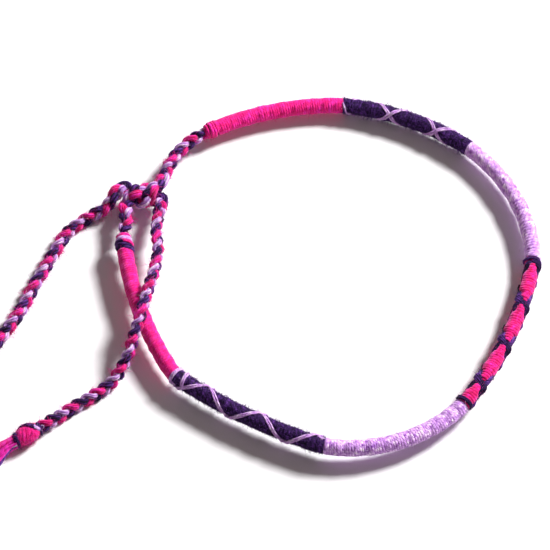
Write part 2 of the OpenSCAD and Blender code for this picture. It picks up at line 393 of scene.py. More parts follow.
@dataclass(frozen=True)
class Crossing:
    """Two threads that cross each other on top of a wound section.

    Attributes:
        shade: Their colour.
        width: The width of a thread.
        turn: The length of a whole turn round the ring.
        first: How far along the section they cross first.
        side: The side of the ring where they do, in degrees.
        thick: The thickness of a thread.
        strands: The strands of a thread.
        starts: How far along the section the lower and the upper thread start.
        fullness: The width of a strand, as a share of its room.
        tone: How much lighter they are.
        collars: The closed turns, which belong to the lower thread.
        light_and_shade_wave: How far the tone swings over a turn, as painted light on the arms before
            each crossing and painted shade on those after it.
        linger: How far they bow out between their crossings, in degrees.
        snap: How far they bow twice as often.
        skew: How far they turn away at each half turn.
    """

    shade: Shade
    width: float
    turn: float
    first: float
    side: float
    thick: float
    strands: int
    starts: tuple[float, float]
    fullness: float
    tone: float
    collars: tuple[Collar, ...]
    light_and_shade_wave: float = 0.0
    linger: float = 0.0
    snap: float = 0.0
    skew: float = 0.0

    NEAR = 0.05  # how far to each side a thread's slope is read

    def half_turns(self, s: np.ndarray) -> np.ndarray:
        """Half turns from the first crossing, at lengths s in the section."""
        return (s - self.first) / (self.turn / 2)

    def angle(self, s: np.ndarray, hand: Hand) -> np.ndarray:
        """The side of the ring that a thread lies on.

        Args:
            s: Lengths in the section.
            hand: The way that the thread winds.

        Returns:
            Angles in degrees.
        """
        half_turns = self.half_turns(s)
        level, wave = turned(360 * half_turns)
        bow = self.linger * wave + 2 * self.snap * wave * level - self.skew * (1 - level) / 2
        return self.side + hand.value * (180 * half_turns + bow)

    def off(self, s: np.ndarray, angle: np.ndarray, radius: float, hand: Hand) -> np.ndarray:
        """How far a spot on the wrap lies from the middle of a thread.

        Args:
            s: Lengths in the section.
            angle: Sides of the ring in degrees.
            radius: The wrap's radius.
            hand: The way that the thread winds.

        Returns:
            Distances in millimetres.
        """
        apart = (angle - self.angle(s, hand) + 180) % 360 - 180
        turn = self.angle(s + self.NEAR, hand) - self.angle(s - self.NEAR, hand)
        rate = turn / (2 * self.NEAR)
        return np.abs(np.radians(apart)) * radius / np.hypot(1, np.radians(rate) * radius)


class GroupKit:
    """A shader node group under construction, with short calls for its nodes."""

    def __init__(self, name: str) -> None:
        """Starts an empty group of that name."""
        self.tree = bpy.data.node_groups.new(name, "ShaderNodeTree")
        self.outlet = self.tree.nodes.new("NodeGroupOutput")
        self.inlet = self.tree.nodes.new("NodeGroupInput")

    def takes(self, name: str, kind: str, value: float | Colour | None = None) -> None:
        """Adds a named input.

        Args:
            name: The socket's name.
            kind: Float, Color or Vector.
            value: What it holds where nothing is linked.
        """
        socket = self.tree.interface.new_socket(name, in_out="INPUT", socket_type="NodeSocket" + kind)
        if value is not None:
            socket.default_value = (*value, 1.0) if kind == "Color" else value

    def gives(self, name: str, kind: str, source: bpy.types.NodeSocket) -> None:
        """Adds a named output, fed by a socket."""
        self.tree.interface.new_socket(name, in_out="OUTPUT", socket_type="NodeSocket" + kind)
        self.tree.links.new(source, self.outlet.inputs[name])

    def given(self, name: str) -> bpy.types.NodeSocket:
        """The socket inside the group that carries a named input."""
        return self.inlet.outputs[name]

    def feed(self, socket: bpy.types.NodeSocket, value: object) -> None:
        """Links a socket to another one, or sets it to a plain value.

        Args:
            socket: The socket that takes the value.
            value: The value, or the socket that holds it.
        """
        if isinstance(value, bpy.types.NodeSocket):
            self.tree.links.new(value, socket)
        else:
            socket.default_value = value

    def math(self, operation: str, a: object, b: object = 0.0) -> bpy.types.NodeSocket:
        """Adds a Math node.

        Args:
            operation: The node's operation.
            a: Its first value or socket.
            b: Its second value or socket.

        Returns:
            The result's socket.
        """
        node = self.tree.nodes.new("ShaderNodeMath")
        node.operation = operation
        self.feed(node.inputs[0], a)
        self.feed(node.inputs[1], b)
        return node.outputs[0]

    def vector(self, x: object, y: object, z: object) -> bpy.types.NodeSocket:
        """A vector from three parts.

        Args:
            x: The first value or socket.
            y: The second value or socket.
            z: The third value or socket.

        Returns:
            The vector's socket.
        """
        node = self.tree.nodes.new("ShaderNodeCombineXYZ")
        for socket, value in zip(node.inputs, (x, y, z)):
            self.feed(socket, value)
        return node.outputs[0]

    def noise(self, vector: object, scale: object, detail: float) -> bpy.types.NodeSocket:
        """The value of a Noise Texture.

        Args:
            vector: Where it is read.
            scale: Its scale.
            detail: Its detail.

        Returns:
            The value's socket, from 0 to 1.
        """
        node = self.tree.nodes.new("ShaderNodeTexNoise")
        self.feed(node.inputs["Vector"], vector)
        self.feed(node.inputs["Scale"], scale)
        node.inputs["Detail"].default_value = detail
        return node.outputs[0]

    def ramp(
        self, value: object, edges: tuple[float, float], to: tuple[float, float]
    ) -> bpy.types.NodeSocket:
        """A smooth map of a value from one range to another.

        Args:
            value: The value or socket.
            edges: The values that give the two results.
            to: The two results.

        Returns:
            The result's socket.
        """
        node = self.tree.nodes.new("ShaderNodeMapRange")
        node.interpolation_type = "SMOOTHSTEP"
        self.feed(node.inputs["Value"], value)
        for name, number in zip(("From Min", "From Max", "To Min", "To Max"), (*edges, *to)):
            node.inputs[name].default_value = number
        return node.outputs["Result"]

    def mix(self, share: object, a: object, b: object) -> bpy.types.NodeSocket:
        """A mix of two colours.

        Args:
            share: The share of the second colour.
            a: The first colour or socket.
            b: The second colour or socket.

        Returns:
            The mixed colour's socket.
        """
        node = self.tree.nodes.new("ShaderNodeMix")
        node.data_type = "RGBA"
        self.feed(node.inputs["Factor"], share)
        self.feed(node.inputs[6], a)
        self.feed(node.inputs[7], b)
        return node.outputs[2]


@dataclass(frozen=True)
class TwistedFibres:
    """The shader group that draws plies and fibres, twisted round a thread.

    Attributes:
        pace: How fast the fibres change along the thread, against the way round it.
        detail: The detail of the fibres.
        fibre_edges: The noise values of a dark and of a lit fibre.
        ply_share: The share of the plies in the height.
        crease: How much of a ply's side lies in the crease, where the deep colour is painted as shade.
    """

    pace: float = 0.16
    detail: float = 3.0
    fibre_edges: tuple[float, float] = (0.34, 0.66)
    ply_share: float = 0.6
    crease: float = 0.55

    def group(self) -> bpy.types.NodeTree:
        """Makes the group.

        Returns:
            The group. Thread holds the share of the way round and the millimetres along.
        """
        kit = GroupKit("TwistedFibres")
        kit.takes("Thread", "Vector")
        kit.takes("Plies", "Float", 2.0)
        kit.takes("Twist", "Float", 0.5)
        kit.takes("Fibre Scale", "Float", 7.0)
        split = kit.tree.nodes.new("ShaderNodeSeparateXYZ")
        kit.tree.links.new(kit.given("Thread"), split.inputs[0])
        round_share, along = split.outputs[0], split.outputs[1]
        turns = kit.math("ADD", round_share, kit.math("MULTIPLY", along, kit.given("Twist")))
        half_phase = kit.math("MULTIPLY", kit.math("MULTIPLY", turns, kit.given("Plies")), math.pi)
        ply = kit.math("ABSOLUTE", kit.math("COSINE", half_phase))
        phase = kit.math("MULTIPLY", turns, 2 * math.pi)
        spot = kit.vector(
            kit.math("COSINE", phase), kit.math("SINE", phase), kit.math("MULTIPLY", along, self.pace)
        )
        fibres = kit.noise(spot, kit.given("Fibre Scale"), self.detail)
        streak = kit.ramp(fibres, self.fibre_edges, (0.0, 1.0))
        plies_part = kit.math("MULTIPLY", ply, self.ply_share)
        height = kit.math("ADD", plies_part, kit.math("MULTIPLY", streak, 1 - self.ply_share))
        kit.gives("Height", "Float", height)
        kit.gives("Crease", "Float", kit.ramp(ply, (0.0, self.crease), (1.0, 0.0)))
        kit.gives("Streak", "Float", streak)
        return kit.tree


@dataclass(frozen=True)
class CottonDyeAndShade:
    """The shader group that colours cotton between a deep, a body and a light colour; the deep colour is
    painted shade in the ply creases and the colour of the darker tones.

    Attributes:
        mottle_scale: The scale of the faint patches, in a metre.
        mottle_detail: Their detail.
        mottle_edges: The noise values of a dark and of a light patch.
        mottle_tone: How much lighter and darker the patches are.
        crease_share: How much of the deep colour shows in a crease, as painted shade.
        streak_share: How much of the light colour shows on a lit fibre.
        streak_gloss: How much less rough a lit fibre is.
    """

    mottle_scale: float = 1400.0
    mottle_detail: float = 2.0
    mottle_edges: tuple[float, float] = (0.3, 0.7)
    mottle_tone: float = 0.22
    crease_share: float = 0.75
    streak_share: float = 0.35
    streak_gloss: float = 0.12

    def group(self) -> bpy.types.NodeTree:
        """Makes the group.

        Returns:
            The group, which puts out a colour and a roughness that change over the surface.
        """
        kit = GroupKit("CottonDyeAndShade")
        for name in ("Deep", "Body", "Light"):
            kit.takes(name, "Color", (0.5, 0.5, 0.5))
        for name in ("Crease", "Streak", "Tone"):
            kit.takes(name, "Float", 0.0)
        kit.takes("Base Roughness", "Float", 0.6)
        coordinates = kit.tree.nodes.new("ShaderNodeTexCoord")
        mottle = kit.noise(coordinates.outputs["Object"], self.mottle_scale, self.mottle_detail)
        patch = kit.ramp(mottle, self.mottle_edges, (-self.mottle_tone, self.mottle_tone))
        shift = kit.math("ADD", kit.given("Tone"), patch)
        # The deep colour is painted shade in the ply creases; it also takes the darker tones.
        dark = kit.math("MULTIPLY", kit.given("Crease"), self.crease_share)
        darker = kit.math("MAXIMUM", dark, kit.math("MULTIPLY", shift, -1.0))
        lit = kit.math("MULTIPLY", kit.given("Streak"), self.streak_share)
        lighter = kit.math("ADD", lit, kit.math("MAXIMUM", shift, 0.0))
        light = kit.mix(kit.math("MINIMUM", lighter, 1.0), kit.given("Body"), kit.given("Light"))
        kit.gives("Colour", "Color", kit.mix(kit.math("MINIMUM", darker, 1.0), light, kit.given("Deep")))
        smoother = kit.math("MULTIPLY", kit.given("Streak"), -self.streak_gloss)
        kit.gives("Roughness", "Float", kit.math("ADD", kit.given("Base Roughness"), smoother))
        return kit.tree


@dataclass(frozen=True)
class FlossFinish:
    """How one colour of cotton floss looks.

    Attributes:
        name: The material's name.
        slot: The name of its material slot, which is not used.
        deep: The colour painted in the creases as shade, and of the darker tones.
        body: The colour of the thread.
        light: The colour of the lit fibres.
        roughness: The roughness between the lit fibres.
        sheen: The weight of the soft sheen.
        sheen_roughness: The roughness of the sheen.
        sheen_tint: The colour of the sheen.
        plies: The plies of the thread.
        twist: Their turns in a millimetre.
        fibre_scale: The scale of the fibres.
        relief: The strength of the relief of plies and fibres.
        relief_depth: Its depth in millimetres.
        specular: The strength of the mirror part.
    """

    name: str
    slot: str
    deep: Colour
    body: Colour
    light: Colour
    roughness: float = 0.62
    sheen: float = 0.25
    sheen_roughness: float = 0.45
    sheen_tint: Colour = (1.0, 1.0, 1.0)
    plies: float = 2.0
    twist: float = 0.55
    fibre_scale: float = 7.0
    relief: float = 0.75
    relief_depth: float = 0.06
    specular: float = 0.2

    def material(self, fibres: bpy.types.NodeTree, dye_and_shade: bpy.types.NodeTree) -> bpy.types.Material:
        """Makes the finish's material.

        Args:
            fibres: The node group of twisted fibres.
            dye_and_shade: The node group of dyed cotton with painted crease shade.

        Returns:
            The material, whose shader stays outside the groups.
        """
        made = bpy.data.materials.new(self.name)
        made.use_nodes = True
        nodes, links = made.node_tree.nodes, made.node_tree.links
        shader = nodes["Principled BSDF"]
        uv = nodes.new("ShaderNodeUVMap")
        uv.uv_map = Skein.UV
        tone = nodes.new("ShaderNodeAttribute")
        tone.attribute_name = Skein.TONE
        twist = nodes.new("ShaderNodeGroup")
        twist.node_tree = fibres
        twist.inputs["Plies"].default_value = self.plies
        twist.inputs["Twist"].default_value = self.twist
        twist.inputs["Fibre Scale"].default_value = self.fibre_scale
        colour = nodes.new("ShaderNodeGroup")
        colour.node_tree = dye_and_shade
        for socket, value in (("Deep", self.deep), ("Body", self.body), ("Light", self.light)):
            colour.inputs[socket].default_value = (*value, 1.0)
        colour.inputs["Base Roughness"].default_value = self.roughness
        bump = nodes.new("ShaderNodeBump")
        bump.inputs["Strength"].default_value = self.relief
        bump.inputs["Distance"].default_value = self.relief_depth * MM
        links.new(uv.outputs["UV"], twist.inputs["Thread"])
        links.new(tone.outputs["Fac"], colour.inputs["Tone"])
        links.new(twist.outputs["Crease"], colour.inputs["Crease"])
        links.new(twist.outputs["Streak"], colour.inputs["Streak"])
        links.new(twist.outputs["Height"], bump.inputs["Height"])
        links.new(colour.outputs["Colour"], shader.inputs["Base Color"])
        links.new(colour.outputs["Roughness"], shader.inputs["Roughness"])
        links.new(bump.outputs["Normal"], shader.inputs["Normal"])
        shader.inputs["Specular IOR Level"].default_value = self.specular
        shader.inputs["Sheen Weight"].default_value = self.sheen
        shader.inputs["Sheen Roughness"].default_value = self.sheen_roughness
        shader.inputs["Sheen Tint"].default_value = (*self.sheen_tint, 1.0)
        return made


# Each finish lists its deep colour, which is painted as shade in the creases, then its body and its light
# colour.
FLOSS = {
    Shade.PINK: FlossFinish(
        "hot_pink_floss", "pink_floss",
        (0.50, 0.0, 0.07), (0.86, 0.003, 0.16), (0.94, 0.03, 0.50),
        sheen=0.42, sheen_tint=(1.0, 0.45, 1.0), specular=0.08,
    ),
    Shade.PURPLE: FlossFinish(
        "deep_purple_floss", "purple_floss",
        (0.001, 0.0005, 0.004), (0.007, 0.002, 0.024), (0.15, 0.045, 0.31),
        sheen=0.09, sheen_tint=(0.7, 0.4, 1.0), specular=0.06,
    ),
    Shade.LILAC: FlossFinish(
        "lilac_floss", "lilac_floss",
        (0.24, 0.05, 0.40), (0.60, 0.23, 0.78), (1.0, 0.82, 1.0),
        sheen=0.38, sheen_tint=(1.0, 0.82, 1.0), specular=0.3,
    ),
}
CORE_FINISH = FlossFinish(
    "core_cotton", "core_strands", (0.05, 0.01, 0.06), (0.26, 0.09, 0.30), (0.45, 0.24, 0.5)
)


class Wardrobe:
    """The materials of the three flosses and of the core."""

    def __init__(self) -> None:
        """Makes the shared groups and the materials."""
        fibres, dye_and_shade = TwistedFibres().group(), CottonDyeAndShade().group()
        self.floss = {shade: finish.material(fibres, dye_and_shade) for shade, finish in FLOSS.items()}
        self.core = CORE_FINISH.material(fibres, dye_and_shade)


@dataclass
class Skein:
    """Threads of one colour that become one mesh, each a closed tube."""

    name: str
    shade: Shade
    node: str
    vertices: list[np.ndarray] = field(default_factory=list)
    faces: list[np.ndarray] = field(default_factory=list)
    uvs: list[np.ndarray] = field(default_factory=list)
    tones: list[np.ndarray] = field(default_factory=list)
    count: int = 0

    UV = "thread"
    TONE = "tone"
    TIP = 0.6  # how far a closed end stands out, in half thicknesses

    def lay(
        self,
        lines: np.ndarray,
        out: np.ndarray,
        width: np.ndarray | float,
        thick: np.ndarray | float,
        tone: np.ndarray | float = 0.0,
        sides: int = 7,
    ) -> None:
        """Lays threads that have the same count of points.

        Args:
            lines: The middle of one thread, or of several, in millimetres.
            out: The way that each thread's flat back faces, at each point.
            width: Its width across out.
            thick: Its thickness along out.
            tone: How much lighter or darker it is, for each thread and point.
            sides: The sides of its cross section.
        """
        lines = lines if lines.ndim == 3 else lines[None]
        out = out if out.ndim == 3 else out[None]
        threads, rings = lines.shape[:2]
        forward = unit(np.gradient(lines, axis=1))
        across = unit(np.cross(forward, out))
        over = np.cross(across, forward)
        c, s = turned(360 * np.arange(sides) / sides)
        half_w = np.broadcast_to(width, (threads, rings))[:, :, None, None] / 2
        half_t = np.broadcast_to(thick, (threads, rings))[:, :, None, None] / 2
        tube = (
            lines[:, :, None]
            + over[:, :, None] * c[:, None] * half_t
            + across[:, :, None] * s[:, None] * half_w
        )
        tip = np.stack([-forward[:, 0], forward[:, -1]], 1) * half_t[:, [0, -1], 0] * self.TIP
        tips = lines[:, [0, -1]] + tip
        self.vertices.append(np.concatenate([tube.reshape(threads, -1, 3), tips], 1).reshape(-1, 3))
        tones = np.broadcast_to(tone, (threads, rings))
        self.tones.append(np.concatenate([np.repeat(tones, sides, 1), tones[:, [0, -1]]], 1).ravel())
        self.face(threads, rings, sides)
        self.unwrap(lines, sides)
        self.count += threads * (rings * sides + 2)

    def face(self, threads: int, rings: int, sides: int) -> None:
        """Adds the faces of a set of tubes, whose corners come next.

        Args:
            threads: How many tubes there are.
            rings: The rings of each.
            sides: The corners of a ring.
        """
        first = self.count + (rings * sides + 2) * np.arange(threads)[:, None, None]
        ring = sides * np.arange(rings - 1)[None, :, None]
        j = np.arange(sides)
        a, b = first + ring + j, first + ring + (j + 1) % sides
        quads = np.stack([a, b, b + sides, a + sides], -1)
        low, high = a[:, 0], b[:, 0]
        last = sides * (rings - 1)
        start = np.broadcast_to(first[:, 0] + rings * sides, low.shape)
        none = np.full(low.shape, -1)
        start_cap = np.stack([high, low, start, none], -1)
        stop_cap = np.stack([low + last, high + last, start + 1, none], -1)
        found = [faces.reshape(-1, 4) for faces in (quads, start_cap, stop_cap)]
        self.faces.append(np.concatenate(found))

    def unwrap(self, lines: np.ndarray, sides: int) -> None:
        """Adds the map of the faces: the share of the way round, and the millimetres along.

        Args:
            lines: The middles of the threads.
            sides: The corners of a ring.
        """
        steps = np.linalg.norm(np.diff(lines, axis=1), axis=-1)
        v = np.concatenate([np.zeros((len(lines), 1)), np.cumsum(steps, 1)], 1)[:, :, None]
        shape = (*steps.shape, sides)
        near, far = (np.broadcast_to((np.arange(sides) + d) / sides, shape) for d in (0, 1))
        low, high = np.broadcast_to(v[:, :-1], shape), np.broadcast_to(v[:, 1:], shape)
        tube = [(near, low), (far, low), (far, high), (near, high)]
        caps = [
            [(far[:, 0], along)] + 3 * [(near[:, 0], along)] for along in (low[:, 0], high[:, -1])
        ]
        for corners in (tube, *caps):
            self.uvs.append(np.stack([np.stack(pair, -1) for pair in corners], -2).reshape(-1, 4, 2))

    def mesh(self) -> bpy.types.Mesh:
        """Makes the mesh of all the threads laid so far.

        Returns:
            The mesh, in metres, with its map and its tone.
        """
        faces = np.concatenate(self.faces)
        real = faces >= 0
        totals = real.sum(1)
        mesh = bpy.data.meshes.new(self.name)
        mesh.vertices.add(self.count)
        mesh.vertices.foreach_set("co", (np.concatenate(self.vertices) * MM).astype(np.float32).ravel())
        mesh.loops.add(int(totals.sum()))
        mesh.loops.foreach_set("vertex_index", faces[real].astype(np.int32))
        mesh.polygons.add(len(faces))
        mesh.polygons.foreach_set("loop_start", (np.cumsum(totals) - totals).astype(np.int32))
        mesh.update(calc_edges=True)
        mesh.polygons.foreach_set("use_smooth", np.ones(len(faces), bool))
        layer = mesh.uv_layers.new(name=self.UV)
        layer.uv.foreach_set("vector", np.concatenate(self.uvs)[real].astype(np.float32).ravel())
        tone = mesh.attributes.new(self.TONE, "FLOAT", "POINT")
        tone.data.foreach_set("value", np.concatenate(self.tones).astype(np.float32))
        mesh.validate()
        return mesh


class Piece(ABC):
    """A piece of the bracelet, built from skeins that stand in for nodes of the model."""

    @abstractmethod
    def skeins(self) -> list[Skein]:
        """The skeins that the piece is made of."""

    def make(self, wardrobe: Wardrobe) -> None:
        """Builds the meshes, dresses them and puts them in place of their nodes.

        Args:
            wardrobe: The materials.
        """
        for skein in self.skeins():
            made = bpy.data.objects.new(skein.name, skein.mesh())
            bpy.context.scene.collection.objects.link(made)
            made.data.materials.append(wardrobe.floss[skein.shade])
            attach(made, "root")
            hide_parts(skein.node)
            LOG.info("%s: %d faces", skein.name, len(made.data.polygons))


@dataclass(frozen=True)
class Fuzz:
    """Fine loose fibres that stand off the threads.

    Attributes:
        per_mm: How many grow on a millimetre.
        longest: The length of the longest.
        thick: Their thickness at the root.
        rings: The points along one.
        tone: How much lighter the lightest is.
        evenness: The higher it is, the more of them are short.
    """

    per_mm: float
    longest: float = 0.9
    thick: float = 0.038
    rings: int = 3
    tone: float = 1.0
    evenness: float = 1.6

    LEAST_LEAN, MOST_LEAN = 0.1, 0.6  # how far a fibre leans out of the surface
    SCATTER = 0.7  # how far its way is scattered
    SHORTEST = 0.25  # a share of the longest, before the evenness
    BOW = 0.35  # how far its tip bows, as a share of its length
    TAPER = 0.6  # the share of its thickness that it loses
    SIDES = 3

    def grow(self, skein: Skein, roots: np.ndarray, out: np.ndarray, length: float, seed: int) -> None:
        """Grows fibres from points on the threads.

        Args:
            skein: The threads that the fibres join.
            roots: Points on the surface.
            out: The way out of the surface at each point.
            length: The length of the piece, which sets how many fibres grow.
            seed: The seed of the random draws.
        """
        rng = np.random.default_rng(seed)
        count = round(self.per_mm * length)
        pick = rng.integers(0, len(roots), count)
        start, normal = roots[pick], unit(out[pick])
        lean = normal * rng.uniform(self.LEAST_LEAN, self.MOST_LEAN, (count, 1))
        way = unit(lean + rng.normal(0, self.SCATTER, (count, 3)))
        outward = np.sum(way * normal, 1, keepdims=True)
        way = unit(way - normal * np.minimum(outward - self.LEAST_LEAN, 0))
        bow = unit(rng.normal(0, 1, (count, 3)))
        reach = rng.uniform(self.SHORTEST, 1.0, count) ** self.evenness * self.longest
        t = np.linspace(0, 1, self.rings)[None, :, None]
        size = reach[:, None, None]
        lines = start[:, None] + way[:, None] * t * size + bow[:, None] * t * t * size * self.BOW
        lines[..., 2] = np.maximum(lines[..., 2], self.thick)
        side = unit(np.cross(way, bow))[:, None] + np.zeros_like(lines)
        thin = self.thick * (1 - self.TAPER * t[..., 0])
        skein.lay(lines, side, thin, thin, rng.uniform(0, self.tone, (count, 1)), self.SIDES)


@dataclass(frozen=True)
class Winding:
    """How the thread of a wound section lies.

    Attributes:
        pitch: The way from turn to turn.
        spread: The width of a turn, as a share of the pitch.
        depth: The thickness of a turn, as a share of the pitch.
        tone: How much lighter the thread is.
        speckle: How much the tone changes from point to point.
        patches: How much it changes over a turn or two.
        bulge: How far the surface swells past the section's radius.
        bed_depth: How deep the crossing threads press into it.
        bed_width: How wide they do.
        fuzz: Its loose fibres.
    """

    pitch: float
    spread: float
    depth: float
    tone: float
    speckle: float = 0.0
    patches: float = 0.16
    bulge: float = 0.0
    bed_depth: float = 0.0
    bed_width: float = 0.4
    fuzz: Fuzz = Fuzz(per_mm=24)


@dataclass
class WoundSection(Piece):
    """One thread wound round the core along a section of the ring.

    Attributes:
        ring: The ring's middle line.
        index: The section, counted from 0.
        winding: How the thread lies.
        crossing: What crosses over it, if anything does.
        overlap: How far the thread passes the section's ends.
        level: The turns at each end that don't move on.
        steps_per_turn: The points of a turn.
        tuck: How deep the two ends of the thread are tucked in.
    """

    ring: RingPath
    index: int
    winding: Winding
    crossing: Crossing | None = None
    overlap: float = 0.08
    level: float = 0.9
    steps_per_turn: int = 24
    tuck: float = 0.16

    SEED = 100
    SPECKLE_SEED = 8
    FUZZ_SEED = 4
    UNEVEN = Wobble(0.09, 0.9)  # of the way from turn to turn, in pitches
    DRIFT = Wobble(0.12, 5.0, 5)  # the same, over several turns
    LIFT = Wobble(0.02, 0.7, 1)  # of the radius
    SWELL = Wobble(0.03, 6.0, 2)  # of the radius, over several turns
    WIDEN = Wobble(0.06, 1.7, 3)  # of the thread's width, as a share
    PATCHES = Wobble(1.0, 1.3, 6)  # of the tone, times the winding's patches
    GLINTS = Wobble(0.12, 0.21, 7)  # of the tone, within a turn
    TUCK_PACE = 4  # an end is tucked in over a turn divided by this
    FUZZ_ROOT = 0.42  # how far from a thread's middle fibres start, in thicknesses

    @property
    def section(self) -> RingSection:
        """The section's sizes."""
        return self.ring.sections[self.index]

    @property
    def name(self) -> str:
        """The name of the node that the section stands in for."""
        return f"wrap_{self.index + 1}_{self.section.shade.value}"

    def surface(self, s: np.ndarray, angle: np.ndarray) -> np.ndarray:
        """The radius of the wound surface, which sinks under crossing threads.

        Args:
            s: Lengths in the section.
            angle: Sides of the ring in degrees.

        Returns:
            Radii in millimetres.
        """
        radius = self.section.thick / 2
        found = np.full(len(s), radius + self.winding.bulge)
        if self.crossing:
            for hand in Hand:
                off = self.crossing.off(s, angle, radius, hand)
                found -= self.winding.bed_depth * np.exp(-((off / self.winding.bed_width) ** 2))
        return found

    def tones(self, tau: np.ndarray, seed: int) -> np.ndarray:
        """How much lighter the thread is along its turns.

        Args:
            tau: Turns from the start of the thread.
            seed: The seed of the section.

        Returns:
            The tone at each point.
        """
        tone = self.winding.tone + self.PATCHES.along(tau, seed, self.winding.patches)
        tone = tone + self.GLINTS.along(tau, seed)
        speckles = np.random.default_rng(seed + self.SPECKLE_SEED).normal(0, 1, len(tau))
        return tone + self.winding.speckle * speckles

    def skeins(self) -> list[Skein]:
        """Winds the thread, turn beside turn, and grows its fuzz.

        Returns:
            One skein.
        """
        seed = self.SEED * (self.index + 1)
        pitch = self.winding.pitch
        width, thick = pitch * self.winding.spread, pitch * self.winding.depth
        inset = width / 2 - self.overlap
        length = self.ring.length_of(self.index) - 2 * inset
        advance = round(length / pitch)
        turns = advance + 2 * self.level
        tau = np.linspace(0, turns, round(turns * self.steps_per_turn) + 1)
        ease = np.clip(np.minimum(tau, turns - tau) - self.level, 0, 1)
        uneven = self.UNEVEN.along(tau, seed, pitch) + self.DRIFT.along(tau, seed, pitch)
        s = inset + length / advance * np.clip(tau - self.level, 0, advance) + uneven * ease
        angle = 360 * tau
        lift = self.LIFT.along(tau, seed) + self.SWELL.along(tau, seed)
        tuck = self.tuck * tucked(tau, self.TUCK_PACE)
        at = self.ring.at(self.index, s)
        out = at.out(angle)
        radius = self.surface(s, angle) - thick / 2 + lift - tuck
        widths = width * (1 + self.WIDEN.along(tau, seed))
        skein = Skein(self.name, self.section.shade, self.name)
        skein.lay(at.around(radius, angle), out, widths, thick, self.tones(tau, seed))
        roots = at.around(radius + thick * self.FUZZ_ROOT, angle)
        self.winding.fuzz.grow(skein, roots, out, length, seed + self.FUZZ_SEED)
        return [skein]


@dataclass
class CrossedThreads(Piece):
    """Two threads that cross over a wound section, each of several strands side by side.

    Attributes:
        wound: The section that they cross.
        crossing: How they cross.
        step: The way from point to point along them.
        end_gap: How far before the section's end they stop.
        climb_len: How long before a crossing the upper thread starts to climb.
        climb: How far it climbs, as a share of the thickness.
        sink: How far they are pressed into the wrap.
        arch: How much lower the outer strands lie.
        tone_step: How much lighter each strand is than the one before.
        collar_points: The points of a collar.
        collar_tuck: How deep the ends of a collar are tucked in.
        fuzz: Their loose fibres.
    """

    wound: WoundSection
    crossing: Crossing
    step: float = 0.13
    end_gap: float = 0.1
    climb_len: float = 0.9
    climb: float = 0.8
    sink: float = 0.05
    arch: float = 0.05
    tone_step: float = 0.14
    collar_points: int = 48
    collar_tuck: float = 0.3
    fuzz: Fuzz = Fuzz(per_mm=7, longest=0.7)

    SEED, THREAD_SEED = 1000, 50
    COLLAR_SEED, NEXT_COLLAR_SEED = 1300, 10
    FUZZ_SEED = 20
    SWAY = Wobble(0.025, 2.4)  # of a strand, to its sides
    LIFT = Wobble(0.02, 3.1, 10)  # of a strand, off the wrap
    STREAKS = Wobble(0.16, 2.0, 30)  # of the tone
    TUCK_PACE = 10  # an end is tucked in over a collar divided by this
    FUZZ_ROOT = 0.45

    def lay_along(
        self, skein: Skein, s: np.ndarray, angle: np.ndarray, lift: np.ndarray, strands: int, seed: int
    ) -> None:
        """Lays the strands of a thread along one path on the wrap.

        Args:
            skein: The threads so far.
            s: Lengths in the section.
            angle: Sides of the ring in degrees.
            lift: How far the path stands off the wrap.
            strands: How many strands lie side by side.
            seed: The seed of the waver.
        """
        crossing = self.crossing
        at = self.wound.ring.at(self.wound.index, s)
        out = at.out(angle)
        radius = self.wound.surface(s, angle) + crossing.thick / 2 - self.sink + lift
        middle = at.around(radius, angle)
        across = unit(np.cross(np.gradient(middle, axis=0), out))
        single = crossing.width / crossing.strands
        _, wave = turned(360 * crossing.half_turns(s))
        run = np.cumsum(np.linalg.norm(np.gradient(middle, axis=0), axis=1))
        for k in range(strands):
            off = k - (strands - 1) / 2
            sway = self.SWAY.along(run, seed + k) + off * single
            rise = self.LIFT.along(run, seed + k) - self.arch * off ** 2
            line = middle + across * sway[:, None] + out * rise[:, None]
            # The swing over a turn is painted light on the arms before each crossing and painted shade on
            # the arms after it.
            tone = crossing.tone - crossing.light_and_shade_wave * wave + self.tone_step * off
            tone = tone + self.STREAKS.along(run, seed + k)
            skein.lay(line, out, single * crossing.fullness, crossing.thick, tone)
        roots = middle + out * crossing.thick * self.FUZZ_ROOT
        self.fuzz.grow(skein, roots, out, run[-1], seed + self.FUZZ_SEED)

    def skeins(self) -> list[Skein]:
        """Lays the lower thread and the upper one, then the collars of the lower one.

        Returns:
            The skeins of the two threads.
        """
        index, crossing = self.wound.index, self.crossing
        stop = self.wound.ring.length_of(index) - self.end_gap - crossing.width / 2
        found = []
        for hand, word, start in zip((Hand.RIGHT, Hand.LEFT), ("under", "over"), crossing.starts):
            s = np.arange(start, stop, self.step)
            half_turns = crossing.half_turns(s)
            off = np.abs(half_turns - np.round(half_turns)) * crossing.turn / 2 - crossing.width / 2
            near = (1 + np.cos(math.pi * np.clip(off / self.climb_len, 0, 1))) / 2
            name = f"cross_{index + 1}_{word}"
            skein = Skein(name, crossing.shade, name)
            lift = near * crossing.thick * self.climb * (hand is Hand.LEFT)
            seed = self.SEED * (index + 1) + self.THREAD_SEED * len(found)
            self.lay_along(skein, s, crossing.angle(s, hand), lift, crossing.strands, seed)
            found.append(skein)
        t = np.linspace(0, 1, self.collar_points)
        for k, collar in enumerate(crossing.collars):
            s = collar.from_s + (collar.to_s - collar.from_s) * t
            angle = collar.from_angle + (collar.to_angle - collar.from_angle) * t
            lift = -self.collar_tuck * tucked(t, self.TUCK_PACE)
            seed = self.COLLAR_SEED + self.NEXT_COLLAR_SEED * k + index
            self.lay_along(found[0], s, angle, lift, collar.strands, seed)
        return found


@dataclass(frozen=True)
class Turns:
    """Turns of one colour in the binding of an end of the ring.

    Attributes:
        shade: Their colour.
        start: How far past the last wrap they start.
        stop: How far past it they stop.
        count: How many turns there are.
        thread_d: The thread's diameter.
        radius: The radius of the turns.
        tilt: How far a turn leans along the ring.
        phase: The side where they start, in degrees.
    """

    shade: Shade
    start: float
    stop: float
    count: float
    thread_d: float
    radius: float
    tilt: float = 0.0
    phase: float = 0.0


